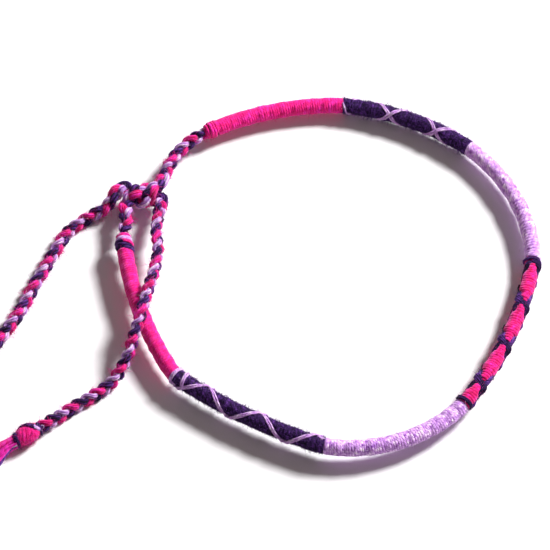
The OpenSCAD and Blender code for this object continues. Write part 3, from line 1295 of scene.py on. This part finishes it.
@dataclass
class BoundEnd(Piece):
    """The turns that bind the ring where a braid begins.

    Attributes:
        name: The name of the node that they stand in for.
        ring: The ring's middle line.
        last: Whether the end is the one by braid B.
        turns: The turns, from the wraps outward.
        spread: The width of a thread, as a share of its diameter.
        press: The thickness of a thread, as a share of its diameter.
        tuck: How deep the ends of the turns are tucked in.
        fuzz: Their loose fibres.
    """

    name: str
    ring: RingPath
    last: bool
    turns: tuple[Turns, ...]
    spread: float = 1.08
    press: float = 0.86
    tuck: float = 0.35
    fuzz: Fuzz = Fuzz(per_mm=14)

    SEED, TURNS_SEED, LAST_SEED, FUZZ_SEED = 400, 10, 5, 2
    STEPS_PER_TURN, MORE_STEPS = 26, 12
    UNEVEN = Wobble(0.03, 0.8)  # of the way along the ring
    SWELL = Wobble(0.04, 0.9, 1)  # of the radius
    STREAKS = Wobble(0.2, 0.8, 3)  # of the tone
    TUCK_PACE = 5  # an end is tucked in over a turn divided by this
    FUZZ_ROOT = 0.4

    def skeins(self) -> list[Skein]:
        """Winds the turns of each colour.

        Returns:
            One skein for each colour, which has the colour in its name where there are more.
        """
        mixed = len({turns.shade for turns in self.turns}) > 1
        found: dict[Shade, Skein] = {}
        for number, turns in enumerate(self.turns):
            name = f"{self.name}_{turns.shade.value}" if mixed else self.name
            skein = found.setdefault(turns.shade, Skein(name, turns.shade, self.name))
            seed = self.SEED + self.TURNS_SEED * number + self.LAST_SEED * self.last
            self.wind(skein, turns, seed)
        return list(found.values())

    def wind(self, skein: Skein, turns: Turns, seed: int) -> None:
        """Winds some turns round the end of the ring.

        Args:
            skein: The threads so far.
            turns: The turns.
            seed: The seed of the random draws.
        """
        steps = round(turns.count * self.STEPS_PER_TURN) + self.MORE_STEPS
        tau = np.linspace(0, turns.count, steps)
        angle = 360 * tau + turns.phase
        c, _ = turned(angle)
        s = turns.start + (turns.stop - turns.start) * tau / turns.count
        s = s + turns.tilt * c + self.UNEVEN.along(tau, seed)
        at = self.ring.past_end(self.last, s)
        out = at.out(angle)
        tuck = self.tuck * tucked(tau, self.TUCK_PACE)
        radius = turns.radius + self.SWELL.along(tau, seed) - tuck
        tone = self.STREAKS.along(tau, seed)
        width, thick = turns.thread_d * self.spread, turns.thread_d * self.press
        skein.lay(at.around(radius, angle), out, width, thick, tone)
        roots = at.around(radius + turns.thread_d * self.FUZZ_ROOT, angle)
        self.fuzz.grow(skein, roots, out, turns.count * turns.thread_d, seed + self.FUZZ_SEED)


@dataclass
class Braid(Piece):
    """Three strands plaited along a route, through the tie knot, to the knotted end.

    Attributes:
        name: The start of the names of the three nodes that the strands stand in for.
        route: The points of the route.
        knot_from: How far along the route the tie knot starts.
        knot_to: How far along it the tie knot stops.
        start_angle: The plait's phase at the start, in degrees.
        plait_len: The length of one plait.
        knot_pace: The plait's pace in the tie knot, before the turns added there.
        more_turns: The turns added in the tie knot.
        turn_after: The share of a turn added after it.
        turn_len: The length over which that is added.
        slack: How much longer the plait is after the tie knot.
        roll: The roll of the braid about its own line outside the tie knot, in degrees.
        roll_ease: The length over which it rolls.
        floor_reach: The least height of the middle line.
        half_w: How far a strand sways to each side.
        half_t: How far it rises and falls.
        threads: The threads of a strand.
        thread_d: A thread's diameter.
        spread_w: How far its threads lie from a strand's middle, across the braid.
        spread_t: How far they do through the braid.
        thread_twist: The length of one twist of the threads.
        knot_fullness: How much fuller a strand is in the tie knot.
        knot_ease: The length over which it fills out.
        end_fullness: How full a strand is at its ends.
        end_ease: The length over which it fills out there.
        step: The way from point to point along the route.
        route_steps: The steps of the curve between two points of the route.
        fuzz: The loose fibres of the purple and the lilac strand.
        halo: The loose fibres of the pink strand.
    """

    name: str
    route: np.ndarray
    knot_from: float
    knot_to: float
    start_angle: float
    plait_len: float = 4.8
    knot_pace: float = 0.5
    more_turns: int = 1
    turn_after: float = 0.0
    turn_len: float = 4.0
    slack: float = 0.0
    roll: float = 0.0
    roll_ease: float = 3.0
    floor_reach: float = 0.85
    half_w: float = 0.54
    half_t: float = 0.47
    threads: int = 9
    thread_d: float = 0.26
    spread_w: float = 0.34
    spread_t: float = 0.27
    thread_twist: float = 7.0
    knot_fullness: float = 1.3
    knot_ease: float = 1.5
    end_fullness: float = 0.85
    end_ease: float = 0.8
    step: float = 0.22
    route_steps: int = 6
    fuzz: Fuzz = Fuzz(per_mm=1.8, longest=1.2)
    halo: Fuzz = Fuzz(per_mm=5.0, longest=1.4, thick=0.05)

    SEED, STRAND_SEED, FUZZ_SEED = 5000, 100, 9
    SHARES = {Shade.PINK: 1.05, Shade.PURPLE: 1.05, Shade.LILAC: 0.9}
    TONES = (-0.6, 0.15, 0.8, -0.25, 0.5, -0.45, 0.1)  # of the threads in turn
    STRAND_PHASE = 40  # the twist of each strand's threads against the last one's
    DRIFT = Wobble(13, 7.0, 61)  # of the plait's phase, in degrees
    SWELL = Wobble(0.12, 3.0)  # of the spread of the threads, as a share
    STREAKS = Wobble(0.3, 1.5, 20)  # of the tone
    FLOOR_GAP, NEXT_GAP, GAPS = 0.5, 0.1, 3  # the threads' least heights, in diameters
    SIDES = 6
    FUZZ_ROOT = 0.45

    def middle_line(self) -> tuple[np.ndarray, np.ndarray]:
        """The route as a smooth curve.

        Returns:
            Lengths along the curve, and its points there.
        """
        ends = 2 * self.route[[0, -1]] - self.route[[1, -2]]
        r = np.concatenate([ends[:1], self.route, ends[1:]])
        t = (np.arange(self.route_steps) / self.route_steps)[None, :, None]
        a, b, c, d = (r[k:len(r) - 3 + k, None] for k in range(4))
        fine = 0.5 * (
            2 * b + (c - a) * t + (2 * a - 5 * b + 4 * c - d) * t ** 2 + (3 * b - a - 3 * c + d) * t ** 3
        )
        fine = np.concatenate([fine.reshape(-1, 3), self.route[-1:]])
        run = np.concatenate([[0], np.cumsum(np.linalg.norm(np.diff(fine, axis=0), axis=1))])
        even = np.linspace(0, run[-1], round(run[-1] / self.step) + 1)
        return even, np.stack([np.interp(even, run, fine[:, k]) for k in range(3)], 1)

    def phase(self, s: np.ndarray, which: int) -> np.ndarray:
        """How far a strand has gone round the plait's figure of eight.

        Args:
            s: Lengths along the route.
            which: The strand, counted from 0.

        Returns:
            Angles in degrees.
        """
        in_knot = self.knot_to - self.knot_from
        slow = np.clip(s - self.knot_from, 0, in_knot)
        pace = self.knot_pace + self.more_turns * self.plait_len / in_knot
        after = np.maximum(s - self.knot_to, 0)
        angle = 360 * (s - slow * (1 - pace) - self.slack * after) / self.plait_len
        angle = angle + 360 * self.turn_after * np.minimum(after / self.turn_len, 1)
        angle = angle + 120 * which + self.start_angle
        return angle + self.DRIFT.along(s, which)

    def fullness(self, s: np.ndarray, shade: Shade) -> np.ndarray:
        """How full a strand is.

        Args:
            s: Lengths along the route.
            shade: The strand's colour.

        Returns:
            Its fullness at each length.
        """
        inside = np.clip(np.minimum(s - self.knot_from, self.knot_to - s) / self.knot_ease, 0, 1)
        full = 1 + (self.knot_fullness - 1) * inside
        ends = np.clip(np.minimum(s, s[-1] - s) / self.end_ease, self.end_fullness, 1)
        return full * ends * self.SHARES[shade]

    def strand(self, shade: Shade) -> Skein:
        """Plaits one strand.

        Args:
            shade: The strand's colour, which also sets its turn in the plait.

        Returns:
            The strand's threads and their fuzz.
        """
        which = list(Shade).index(shade)
        s, middle = self.middle_line()
        middle[:, 2] = np.maximum(middle[:, 2], self.floor_reach)
        forward = unit(np.gradient(middle, axis=0))
        level = unit(np.cross(np.array([0.0, 0.0, 1.0]), forward))
        outside = np.clip(np.maximum(self.knot_from - s, s - self.knot_to) / self.roll_ease, 0, 1)
        c, d = turned(self.roll * outside)
        aside = level * c[:, None] + np.cross(forward, level) * d[:, None]
        over = np.cross(forward, aside)
        phase = self.phase(s, which)
        _, sway = turned(phase)
        _, rise = turned(2 * phase)
        centre = middle + aside * (self.half_w * sway)[:, None] + over * (self.half_t * rise)[:, None]
        along = unit(np.gradient(centre, axis=0))
        flat = unit(np.cross(over, along))
        top = np.cross(along, flat)
        name = f"{self.name}_{shade.value}"
        skein = Skein(name, shade, name)
        seed = self.SEED + self.STRAND_SEED * which + len(self.route)
        full = self.fullness(s, shade)
        fuzz = self.halo if shade is Shade.PINK else self.fuzz
        for k in range(self.threads):
            c, d = turned(360 * (s / self.thread_twist + k / self.threads) + self.STRAND_PHASE * which)
            swell = 1 + self.SWELL.along(s, seed + k)
            line = centre + flat * (self.spread_w * c * swell * full)[:, None]
            line = line + top * (self.spread_t * d * full)[:, None]
            floor = self.thread_d * (self.FLOOR_GAP + self.NEXT_GAP * (k % self.GAPS))
            line[:, 2] = np.maximum(line[:, 2], floor)
            out = unit(flat * c[:, None] + top * d[:, None])
            tone = self.TONES[k % len(self.TONES)] + self.STREAKS.along(s, seed + k)
            width = self.thread_d * full
            skein.lay(line, out, width, width, tone, self.SIDES)
            roots = line + out * self.thread_d * self.FUZZ_ROOT
            fuzz.grow(skein, roots, out, s[-1], seed + self.FUZZ_SEED + k)
        return skein

    def skeins(self) -> list[Skein]:
        """Plaits the three strands."""
        return [self.strand(shade) for shade in Shade]


@dataclass(frozen=True)
class TailEnd:
    """Where a braid ends in its knot, and which way it points there."""

    spot: Spot
    heading: float


@dataclass(frozen=True)
class Coil:
    """A bundle of threads of one colour in the turns of an end knot.

    Attributes:
        shade: Its colour.
        from_x: Where it starts along the knot, from the knot's middle.
        to_x: Where it stops.
        turns: Its turns.
        phase: The side where it starts, in degrees.
        radius: The radius of its turns at the knot's middle.
        threads: The threads side by side.
        thread_d: A thread's diameter.
        tilt: How far a turn leans along the knot.
    """

    shade: Shade
    from_x: float
    to_x: float
    turns: float
    phase: float
    radius: float
    threads: int
    thread_d: float
    tilt: float = 0.0


@dataclass
class EndKnot(Piece):
    """The tight knot at the end of a braid: bundles of threads coiled over each other.

    Attributes:
        name: The name of the node that it stands in for.
        end: Where the knot lies.
        roll: The roll of the knot about its own line, in degrees.
        half_len: Half the length over which it rounds off.
        lay_share: The way from thread to thread, as a share of the diameter.
        spread: The width of a thread, as a share of the diameter.
        press: The thickness of a thread, as a share of the diameter.
        end_radius: The radius at the ends of a thread, as a share of the coil's.
        fuzz: Its loose fibres.
        coils: The coils, from the inside out.
    """

    name: str
    end: TailEnd
    roll: float = 0.0
    half_len: float = 2.5
    lay_share: float = 0.84
    spread: float = 1.8
    press: float = 0.8
    end_radius: float = 0.6
    fuzz: Fuzz = Fuzz(per_mm=26)
    coils: tuple[Coil, ...] = (
        Coil(Shade.PINK, -0.2, 0.4, 2.2, 40, 1.22, 12, 0.32, 0.35),
        Coil(Shade.PINK, 0.0, 0.5, 1.4, 230, 1.30, 9, 0.32, 0.75),
        Coil(Shade.PINK, -1.5, 1.5, 3.2, 120, 0.95, 2, 0.80),
        Coil(Shade.PURPLE, -2.1, 1.2, 0.45, 50, 1.56, 2, 0.36),
        Coil(Shade.LILAC, -2.0, -0.9, 0.24, 35, 1.54, 1, 0.30),
        Coil(Shade.PURPLE, -1.95, -2.05, 1.3, 20, 1.60, 1, 0.26, 0.10),
        Coil(Shade.PURPLE, 1.85, 2.0, 1.5, 60, 1.60, 2, 0.32, 0.15),
    )

    SEED, COIL_SEED, THREAD_SEED, FUZZ_SEED = 7000, 100, 10, 5
    STEPS_PER_TURN, MORE_STEPS = 34, 10
    END_EDGE = 0.01  # the share of a thread at each end that goes in no deeper
    END_CURVE = 0.35  # the lower it is, the sooner a thread comes out
    ROUND_EDGE = 0.95  # the share of the half length that rounds off
    TONES = (-0.08, 0.12, 0.02)  # of the threads in turn
    SWELL = Wobble(0.025, 0.5)  # of the radius
    STREAKS = Wobble(0.15, 0.4, 7)  # of the tone
    FUZZ_ROOT = 0.45

    def skeins(self) -> list[Skein]:
        """Coils the threads of each colour.

        Returns:
            One skein for each colour.
        """
        found = {shade: Skein(f"{self.name}_{shade.value}", shade, self.name) for shade in Shade}
        for number, coil in enumerate(self.coils):
            self.lay_coil(found[coil.shade], coil, self.SEED + self.COIL_SEED * number)
        return list(found.values())

    def lay_coil(self, skein: Skein, coil: Coil, coil_seed: int) -> None:
        """Lays the threads of a coil side by side.

        Args:
            skein: The threads so far.
            coil: The coil.
            coil_seed: The seed that its threads count on from.
        """
        tau = np.linspace(0, 1, round(coil.turns * self.STEPS_PER_TURN) + self.MORE_STEPS)
        angle = 360 * coil.turns * tau + coil.phase + self.roll
        c, _ = turned(angle)
        x = coil.from_x + (coil.to_x - coil.from_x) * tau + coil.tilt * c
        rounded = np.sin(math.pi * np.clip(tau, self.END_EDGE, 1 - self.END_EDGE)) ** self.END_CURVE
        share = self.end_radius + (1 - self.end_radius) * rounded
        at = Stations.straight(place(self.end.spot, self.end.heading), x)
        for k in range(coil.threads):
            off = k - (coil.threads - 1) / 2
            shift = at.forward * off * coil.thread_d * self.lay_share
            shifted = Stations(at.origin + shift, at.forward, at.aside, at.up)
            along = (x + off * coil.thread_d * self.lay_share) / self.half_len
            barrel = np.sqrt(1 - np.clip(along, -self.ROUND_EDGE, self.ROUND_EDGE) ** 2)
            seed = coil_seed + self.THREAD_SEED * k + ord(self.name[-1])
            radius = coil.radius * barrel * share + self.SWELL.along(tau, seed)
            line = shifted.around(radius, angle)
            line[:, 2] = np.maximum(line[:, 2], coil.thread_d / 2)
            out = shifted.out(angle)
            tone = self.TONES[k % len(self.TONES)] + self.STREAKS.along(tau, seed)
            skein.lay(line, out, coil.thread_d * self.spread, coil.thread_d * self.press, tone)
            roots = line + out * coil.thread_d * self.FUZZ_ROOT
            self.fuzz.grow(skein, roots, out, coil.turns, seed + self.FUZZ_SEED)


@dataclass
class Tuft(Piece):
    """The loose ends past an end knot.

    Attributes:
        name: The name of the node that they stand in for.
        end: Where the knot lies.
        root: How far past the knot's middle they start.
        length: The length of the tuft.
        fan: How far it fans out at the tips.
        start_r: Its radius at the knot.
        thread_d: A thread's diameter.
        fuzz: Its loose fibres.
        threads: How many threads of each colour there are.
    """

    name: str
    end: TailEnd
    root: float = 1.9
    length: float = 8.0
    fan: float = 3.0
    start_r: float = 0.95
    thread_d: float = 0.44
    fuzz: Fuzz = Fuzz(per_mm=5, longest=1.0)
    threads: tuple[tuple[Shade, int], ...] = ((Shade.PINK, 32), (Shade.PURPLE, 2), (Shade.LILAC, 3))

    POINTS = 36
    SEED, SHADE_SEED, WAVER_SEED = 9000, 10, 91
    FUZZ_SEED, NEXT_FUZZ_SEED = 9300, 7
    SHORTEST, LONGEST = 0.72, 0.98  # shares of the tuft's length
    KEEP = 0.9  # how much of its side at the knot an end keeps at its tip
    STRAY = 0.8  # how far it strays from there, as a share of the fan
    PILE = 0.8  # how high it rests at most, on the way to its tip
    FAN_CURVE, FALL_CURVE, SETTLE_CURVE = 1.2, 1.05, 2  # powers of the share along it
    TAPER, TAPER_CURVE = 0.5, 4  # the share of its thickness that it loses, and the power
    WIDE, FLAT = 1.1, 0.95  # its width and its thickness, in diameters
    DARKEST, LIGHTEST = 0.1, 1.2
    WAVER = Wobble(0.2, 5.0)  # of its way to the side

    def loose_end(self, t: np.ndarray, rng: np.random.Generator, seed: int) -> tuple[np.ndarray, float]:
        """The line of a loose end, which falls from the knot to the table.

        Args:
            t: Shares of its length.
            rng: The random draws of its colour.
            seed: The seed of its waver.

        Returns:
            Its points, and its length past the knot.
        """
        angle, reach = rng.uniform(0, 2 * math.pi), self.length * rng.uniform(self.SHORTEST, self.LONGEST)
        away = self.start_r * math.sqrt(rng.uniform(0, 1))
        side, above = away * math.cos(angle), away * math.sin(angle)
        fan = side * self.KEEP + self.fan * rng.uniform(-self.STRAY, self.STRAY)
        x = self.root + reach * t
        y = side * (1 - t) + fan * t ** self.FAN_CURVE + self.WAVER.along(x, seed) * t
        flat = self.thread_d / 2
        rest = flat + rng.uniform(0, self.PILE)
        z = rest + (self.end.spot[2] + above - rest) * (1 - t) ** self.FALL_CURVE
        z = z - (rest - flat) * t ** self.SETTLE_CURVE
        frame = place((*self.end.spot[:2], 0), self.end.heading)
        return np.stack([x, y, z], 1) @ frame[:3, :3].T + frame[:3, 3], reach

    def skeins(self) -> list[Skein]:
        """Lays the loose ends of each colour.

        Returns:
            One skein for each colour.
        """
        found = []
        t = np.linspace(0, 1, self.POINTS)
        thin = self.thread_d * (1 - self.TAPER * t ** self.TAPER_CURVE)
        up = np.tile([0.0, 0.0, 1.0], (self.POINTS, 1))
        for which, (shade, count) in enumerate(self.threads):
            skein = Skein(f"{self.name}_{shade.value}", shade, self.name)
            rng = np.random.default_rng(self.SEED + self.SHADE_SEED * which + ord(self.name[-1]))
            for k in range(count):
                line, reach = self.loose_end(t, rng, self.WAVER_SEED * k + which)
                tone = rng.uniform(self.DARKEST, self.LIGHTEST)
                skein.lay(line, up, thin * self.WIDE, thin * self.FLAT, tone)
                out = rng.normal(0, 1, line.shape)
                self.fuzz.grow(skein, line, out, reach, self.FUZZ_SEED + self.NEXT_FUZZ_SEED * k + which)
            found.append(skein)
        return found


@dataclass
class Core:
    """The bundle of strands inside the wraps, which keeps the model's own solid."""

    node: bpy.types.Object

    def make(self, wardrobe: Wardrobe) -> None:
        """Gives the core its cotton finish.

        Args:
            wardrobe: The materials.
        """
        self.node.data.materials.clear()
        self.node.data.materials.append(wardrobe.core)
        LOG.info("core: dressed")


SOFT = Winding(pitch=0.36, spread=1.45, depth=0.42, tone=0.05)
RAGGED = Winding(
    pitch=0.40, spread=1.4, depth=0.5, tone=-0.15, speckle=0.3, bulge=0.06, bed_depth=0.16,
    fuzz=Fuzz(per_mm=140, longest=0.75, thick=0.06, tone=1.4),
)
RIBBED = Winding(pitch=0.50, spread=1.35, depth=0.5, tone=0.0, speckle=0.34, patches=0.06)
SWOLLEN = Winding(
    pitch=0.42, spread=1.45, depth=0.48, tone=-0.3, speckle=0.35, bulge=0.28, bed_depth=0.46,
    bed_width=0.66,
)
GLINTING = Winding(
    pitch=0.36, spread=1.55, depth=0.42, tone=-0.10, speckle=0.42, patches=0.03,
    fuzz=Fuzz(per_mm=60, longest=0.6),
)
WINDINGS = (SOFT, RAGGED, RIBBED, SWOLLEN, GLINTING, RAGGED, SOFT)
CROSSINGS = {
    1: Crossing(
        Shade.LILAC, width=0.6, turn=8.0, first=7.7, side=135, thick=0.30, strands=2,
        starts=(1.0, 1.4), fullness=0.95, tone=0.12,
        collars=(Collar(0.0, 1.1, 100, 225, 1),),
    ),
    3: Crossing(
        Shade.PURPLE, width=1.15, turn=7.8, first=8.6, side=78, thick=0.40, strands=4,
        starts=(0.7, 0.7), fullness=1.3, tone=-0.1,
        collars=(Collar(0.3, 0.35, -60, 300, 1), Collar(28.2, 28.5, -80, 300, 2)),
        light_and_shade_wave=0.6, linger=20, snap=11, skew=2,
    ),
    5: Crossing(
        Shade.LILAC, width=0.6, turn=9.2, first=6.0, side=-30, thick=0.30, strands=2,
        starts=(0.4, 0.4), fullness=1.0, tone=0.12,
        collars=(Collar(25.35, 25.45, -60, 320), Collar(24.1, 23.4, 190, 20)),
    ),
}
CAP_A = (
    Turns(Shade.PINK, 0.05, 1.5, 2.5, 0.80, 0.66),
    Turns(Shade.PINK, 0.12, 1.25, 2.6, 0.56, 1.14, tilt=0.10),
    Turns(Shade.PINK, 1.52, 1.66, 1.5, 0.52, 0.94, tilt=0.06, phase=200),
    Turns(Shade.PINK, 1.86, 1.98, 1.6, 0.46, 0.66, tilt=0.05, phase=80),
)
KNOB_B = (
    Turns(Shade.PURPLE, 0.05, 2.5, 4.0, 0.80, 0.72),
    Turns(Shade.PURPLE, 0.12, 1.5, 2.6, 0.60, 1.22, tilt=0.38, phase=60),
    Turns(Shade.PINK, 1.60, 0.60, 0.36, 0.42, 1.44, phase=60),
    Turns(Shade.PINK, 1.38, 0.42, 0.32, 0.36, 1.46, phase=66),
    Turns(Shade.LILAC, 1.78, 2.2, 1.9, 0.46, 1.10, tilt=0.16),
    Turns(Shade.PINK, 2.35, 2.75, 2.1, 0.42, 1.0, tilt=0.08),
)
ROUTE_A = (
    (-22.0, 23.9, 2.3), (-23.9, 21.9, 2.4), (-25.2, 19.6, 2.5),
    (-26.0, 17.4, 2.7), (-26.6, 15.5, 3.1), (-28.0, 13.5, 3.65), (-29.2, 12.0, 2.65),
    (-30.5, 13.2, 1.65), (-31.8, 14.4, 2.65), (-33.0, 14.1, 3.2), (-34.1, 12.7, 2.7),
    (-35.3, 11.5, 1.8), (-36.9, 10.7, 1.2), (-38.7, 9.7, 0.8), (-40.4, 8.2, 0.75),
    (-41.8, 6.2, 0.75), (-42.9, 3.9, 0.75), (-44.1, 1.4, 0.75), (-45.3, -1.2, 0.75),
    (-46.4, -3.8, 0.75), (-47.5, -6.4, 0.75), (-48.8, -8.8, 0.75), (-50.2, -11.1, 0.75),
    (-51.6, -13.3, 0.75), (-52.8, -15.6, 1.0),
)
ROUTE_B = (
    (-31.9, 8.3, 3.0), (-32.0, 10.1, 2.9), (-31.8, 12.0, 2.8),
    (-30.5, 13.2, 3.65), (-29.2, 14.4, 2.6), (-28.0, 13.4, 1.65), (-26.7, 12.7, 2.4),
    (-26.6, 11.0, 3.0), (-27.0, 8.9, 3.1), (-27.2, 6.2, 3.3), (-26.9, 3.5, 3.5),
    (-27.0, 1.0, 3.7), (-27.4, -1.6, 4.0), (-28.0, -4.2, 4.3), (-28.6, -6.8, 4.5),
    (-29.2, -9.5, 4.5), (-29.9, -12.0, 4.0), (-30.6, -14.4, 3.2), (-31.5, -16.7, 2.3),
    (-32.7, -18.6, 1.5), (-34.3, -20.3, 0.95), (-36.2, -21.8, 0.75), (-38.3, -23.2, 0.75),
    (-40.5, -24.8, 0.8), (-42.3, -26.3, 1.2),
)
CAP_LEN = 1.8
KNOB_LEN = 2.88
STRAND_START = 0.1
KNOT_FACE = 2.3
END_A = TailEnd((-54.6, -20.6, 1.5), -108)
END_B = TailEnd((-45.7, -28.8, 1.5), -146)


def braid_route(
    ring: RingPath, last: bool, start: float, points: tuple[Spot, ...], end: TailEnd
) -> np.ndarray:
    """The whole route of a braid.

    Args:
        ring: The ring's middle line.
        last: Whether the braid comes from the last section.
        start: How far past the last wrap the braid begins.
        points: The route between its ends.
        end: Where the knot at its end lies.

    Returns:
        The points in order.
    """
    first = ring.past_end(last, np.array([start + STRAND_START])).origin
    goal = place(end.spot, end.heading) @ np.array([-KNOT_FACE - STRAND_START, 0, 0, 1])
    return np.concatenate([first, np.array(points), goal[None, :3]])


def pieces(ring: RingPath) -> list[Piece]:
    """The pieces of the bracelet in order.

    Args:
        ring: The ring's middle line.

    Returns:
        The wraps, the crossing threads, the bound ends, the braids, the knots and the tufts.
    """
    wounds = [
        WoundSection(ring, index, winding, CROSSINGS.get(index))
        for index, winding in enumerate(WINDINGS)
    ]
    crossed = [CrossedThreads(wounds[index], crossing) for index, crossing in CROSSINGS.items()]
    route_a = braid_route(ring, False, CAP_LEN, ROUTE_A, END_A)
    route_b = braid_route(ring, True, KNOB_LEN, ROUTE_B, END_B)
    return [
        *wounds,
        *crossed,
        BoundEnd("end_cap_a", ring, False, CAP_A),
        BoundEnd("end_knob_b", ring, True, KNOB_B),
        Braid("braid_a", route_a, knot_from=11.5, knot_to=25.5, start_angle=40, roll=-60, slack=0.08),
        Braid("braid_b", route_b, knot_from=2.5, knot_to=15.5, start_angle=60, roll=-75, turn_after=0.3),
        EndKnot("end_knot_a", END_A, roll=40),
        EndKnot("end_knot_b", END_B),
        Tuft("tuft_a", END_A),
        Tuft("tuft_b", END_B),
    ]


@dataclass(frozen=True)
class Studio:
    """The table, the light and the camera."""

    target: Spot = (-9.03, 0.36, 0.0)
    distance: float = 520.0
    elevation: float = 57.0
    lens: float = 222.5
    sensor: float = 36.0
    light_distance: float = 900.0
    light_azimuth: float = 38.0
    light_elevation: float = 38.0
    light_size: float = 260.0
    light_power: float = 19.0
    light_colour: Colour = (1.0, 0.99, 1.0)
    fill: Colour = (0.18, 0.15, 0.155)
    table_reach: float = 3000.0
    paper_grey: tuple[float, float] = (0.86, 0.92)
    paper_scale: float = 40.0
    paper_roughness: float = 0.9
    paper_specular: float = 0.1

    def camera(self) -> None:
        """Sets the camera at the photograph's viewing angle."""
        data = bpy.data.cameras.new("camera")
        data.lens, data.sensor_width = self.lens, self.sensor
        data.clip_start, data.clip_end = 0.01, 20.0
        c, s = turned(self.elevation)
        back = Vector((0.0, -float(c), float(s)))
        camera = bpy.data.objects.new("camera", data)
        camera.location = (Vector(self.target) + back * self.distance) * MM
        camera.rotation_euler = (-back).to_track_quat("-Z", "Y").to_euler()
        bpy.context.scene.collection.objects.link(camera)
        bpy.context.scene.camera = camera

    def lights(self) -> None:
        """Sets one soft light from behind on the right, and a dim even sky."""
        data = bpy.data.lights.new("window", "AREA")
        data.shape, data.size, data.energy = "DISK", self.light_size * MM, self.light_power
        data.color = self.light_colour
        (ca, sa), (ce, se) = turned(self.light_azimuth), turned(self.light_elevation)
        towards = Vector((float(ca * ce), float(sa * ce), float(se)))
        light = bpy.data.objects.new("window", data)
        light.location = towards * self.light_distance * MM
        light.rotation_euler = towards.to_track_quat("Z", "Y").to_euler()
        bpy.context.scene.collection.objects.link(light)
        world = bpy.data.worlds.new("sky")
        world.use_nodes = True
        world.node_tree.nodes["Background"].inputs["Color"].default_value = (*self.fill, 1.0)
        bpy.context.scene.world = world

    def paper(self) -> bpy.types.Material:
        """Makes the table's white paper.

        Returns:
            The material, with faint grey patches.
        """
        made = bpy.data.materials.new("white_paper")
        made.use_nodes = True
        nodes, links = made.node_tree.nodes, made.node_tree.links
        coordinates = nodes.new("ShaderNodeTexCoord")
        noise = nodes.new("ShaderNodeTexNoise")
        noise.inputs["Scale"].default_value = self.paper_scale
        ramp = nodes.new("ShaderNodeMapRange")
        for name, value in zip(("To Min", "To Max"), self.paper_grey):
            ramp.inputs[name].default_value = value
        grey = nodes.new("ShaderNodeCombineColor")
        links.new(coordinates.outputs["Object"], noise.inputs["Vector"])
        links.new(noise.outputs[0], ramp.inputs["Value"])
        for k in range(3):
            links.new(ramp.outputs["Result"], grey.inputs[k])
        shader = nodes["Principled BSDF"]
        links.new(grey.outputs[0], shader.inputs["Base Color"])
        shader.inputs["Roughness"].default_value = self.paper_roughness
        shader.inputs["Specular IOR Level"].default_value = self.paper_specular
        return made

    def table(self) -> None:
        """Lays the white table under the bracelet."""
        reach = self.table_reach * MM
        corners = ((-reach, -reach), (reach, -reach), (reach, reach), (-reach, reach))
        mesh = bpy.data.meshes.new("table")
        mesh.from_pydata([(x, y, 0.0) for x, y in corners], [], [(0, 1, 2, 3)])
        mesh.materials.append(self.paper())
        table = bpy.data.objects.new("table", mesh)
        bpy.context.scene.collection.objects.link(table)


def main() -> None:
    """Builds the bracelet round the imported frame, piece by piece."""
    logging.basicConfig(level=logging.INFO, format="%(name)s: %(message)s")
    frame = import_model()
    bpy.context.scene.view_settings.view_transform = "Standard"
    studio = Studio()
    studio.camera()
    studio.lights()
    studio.table()
    wardrobe = Wardrobe()
    Core(frame["nodes"]["core"]).make(wardrobe)
    for piece in pieces(RingPath()):
        piece.make(wardrobe)
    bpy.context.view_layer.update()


if __name__ == "__main__":
    main()
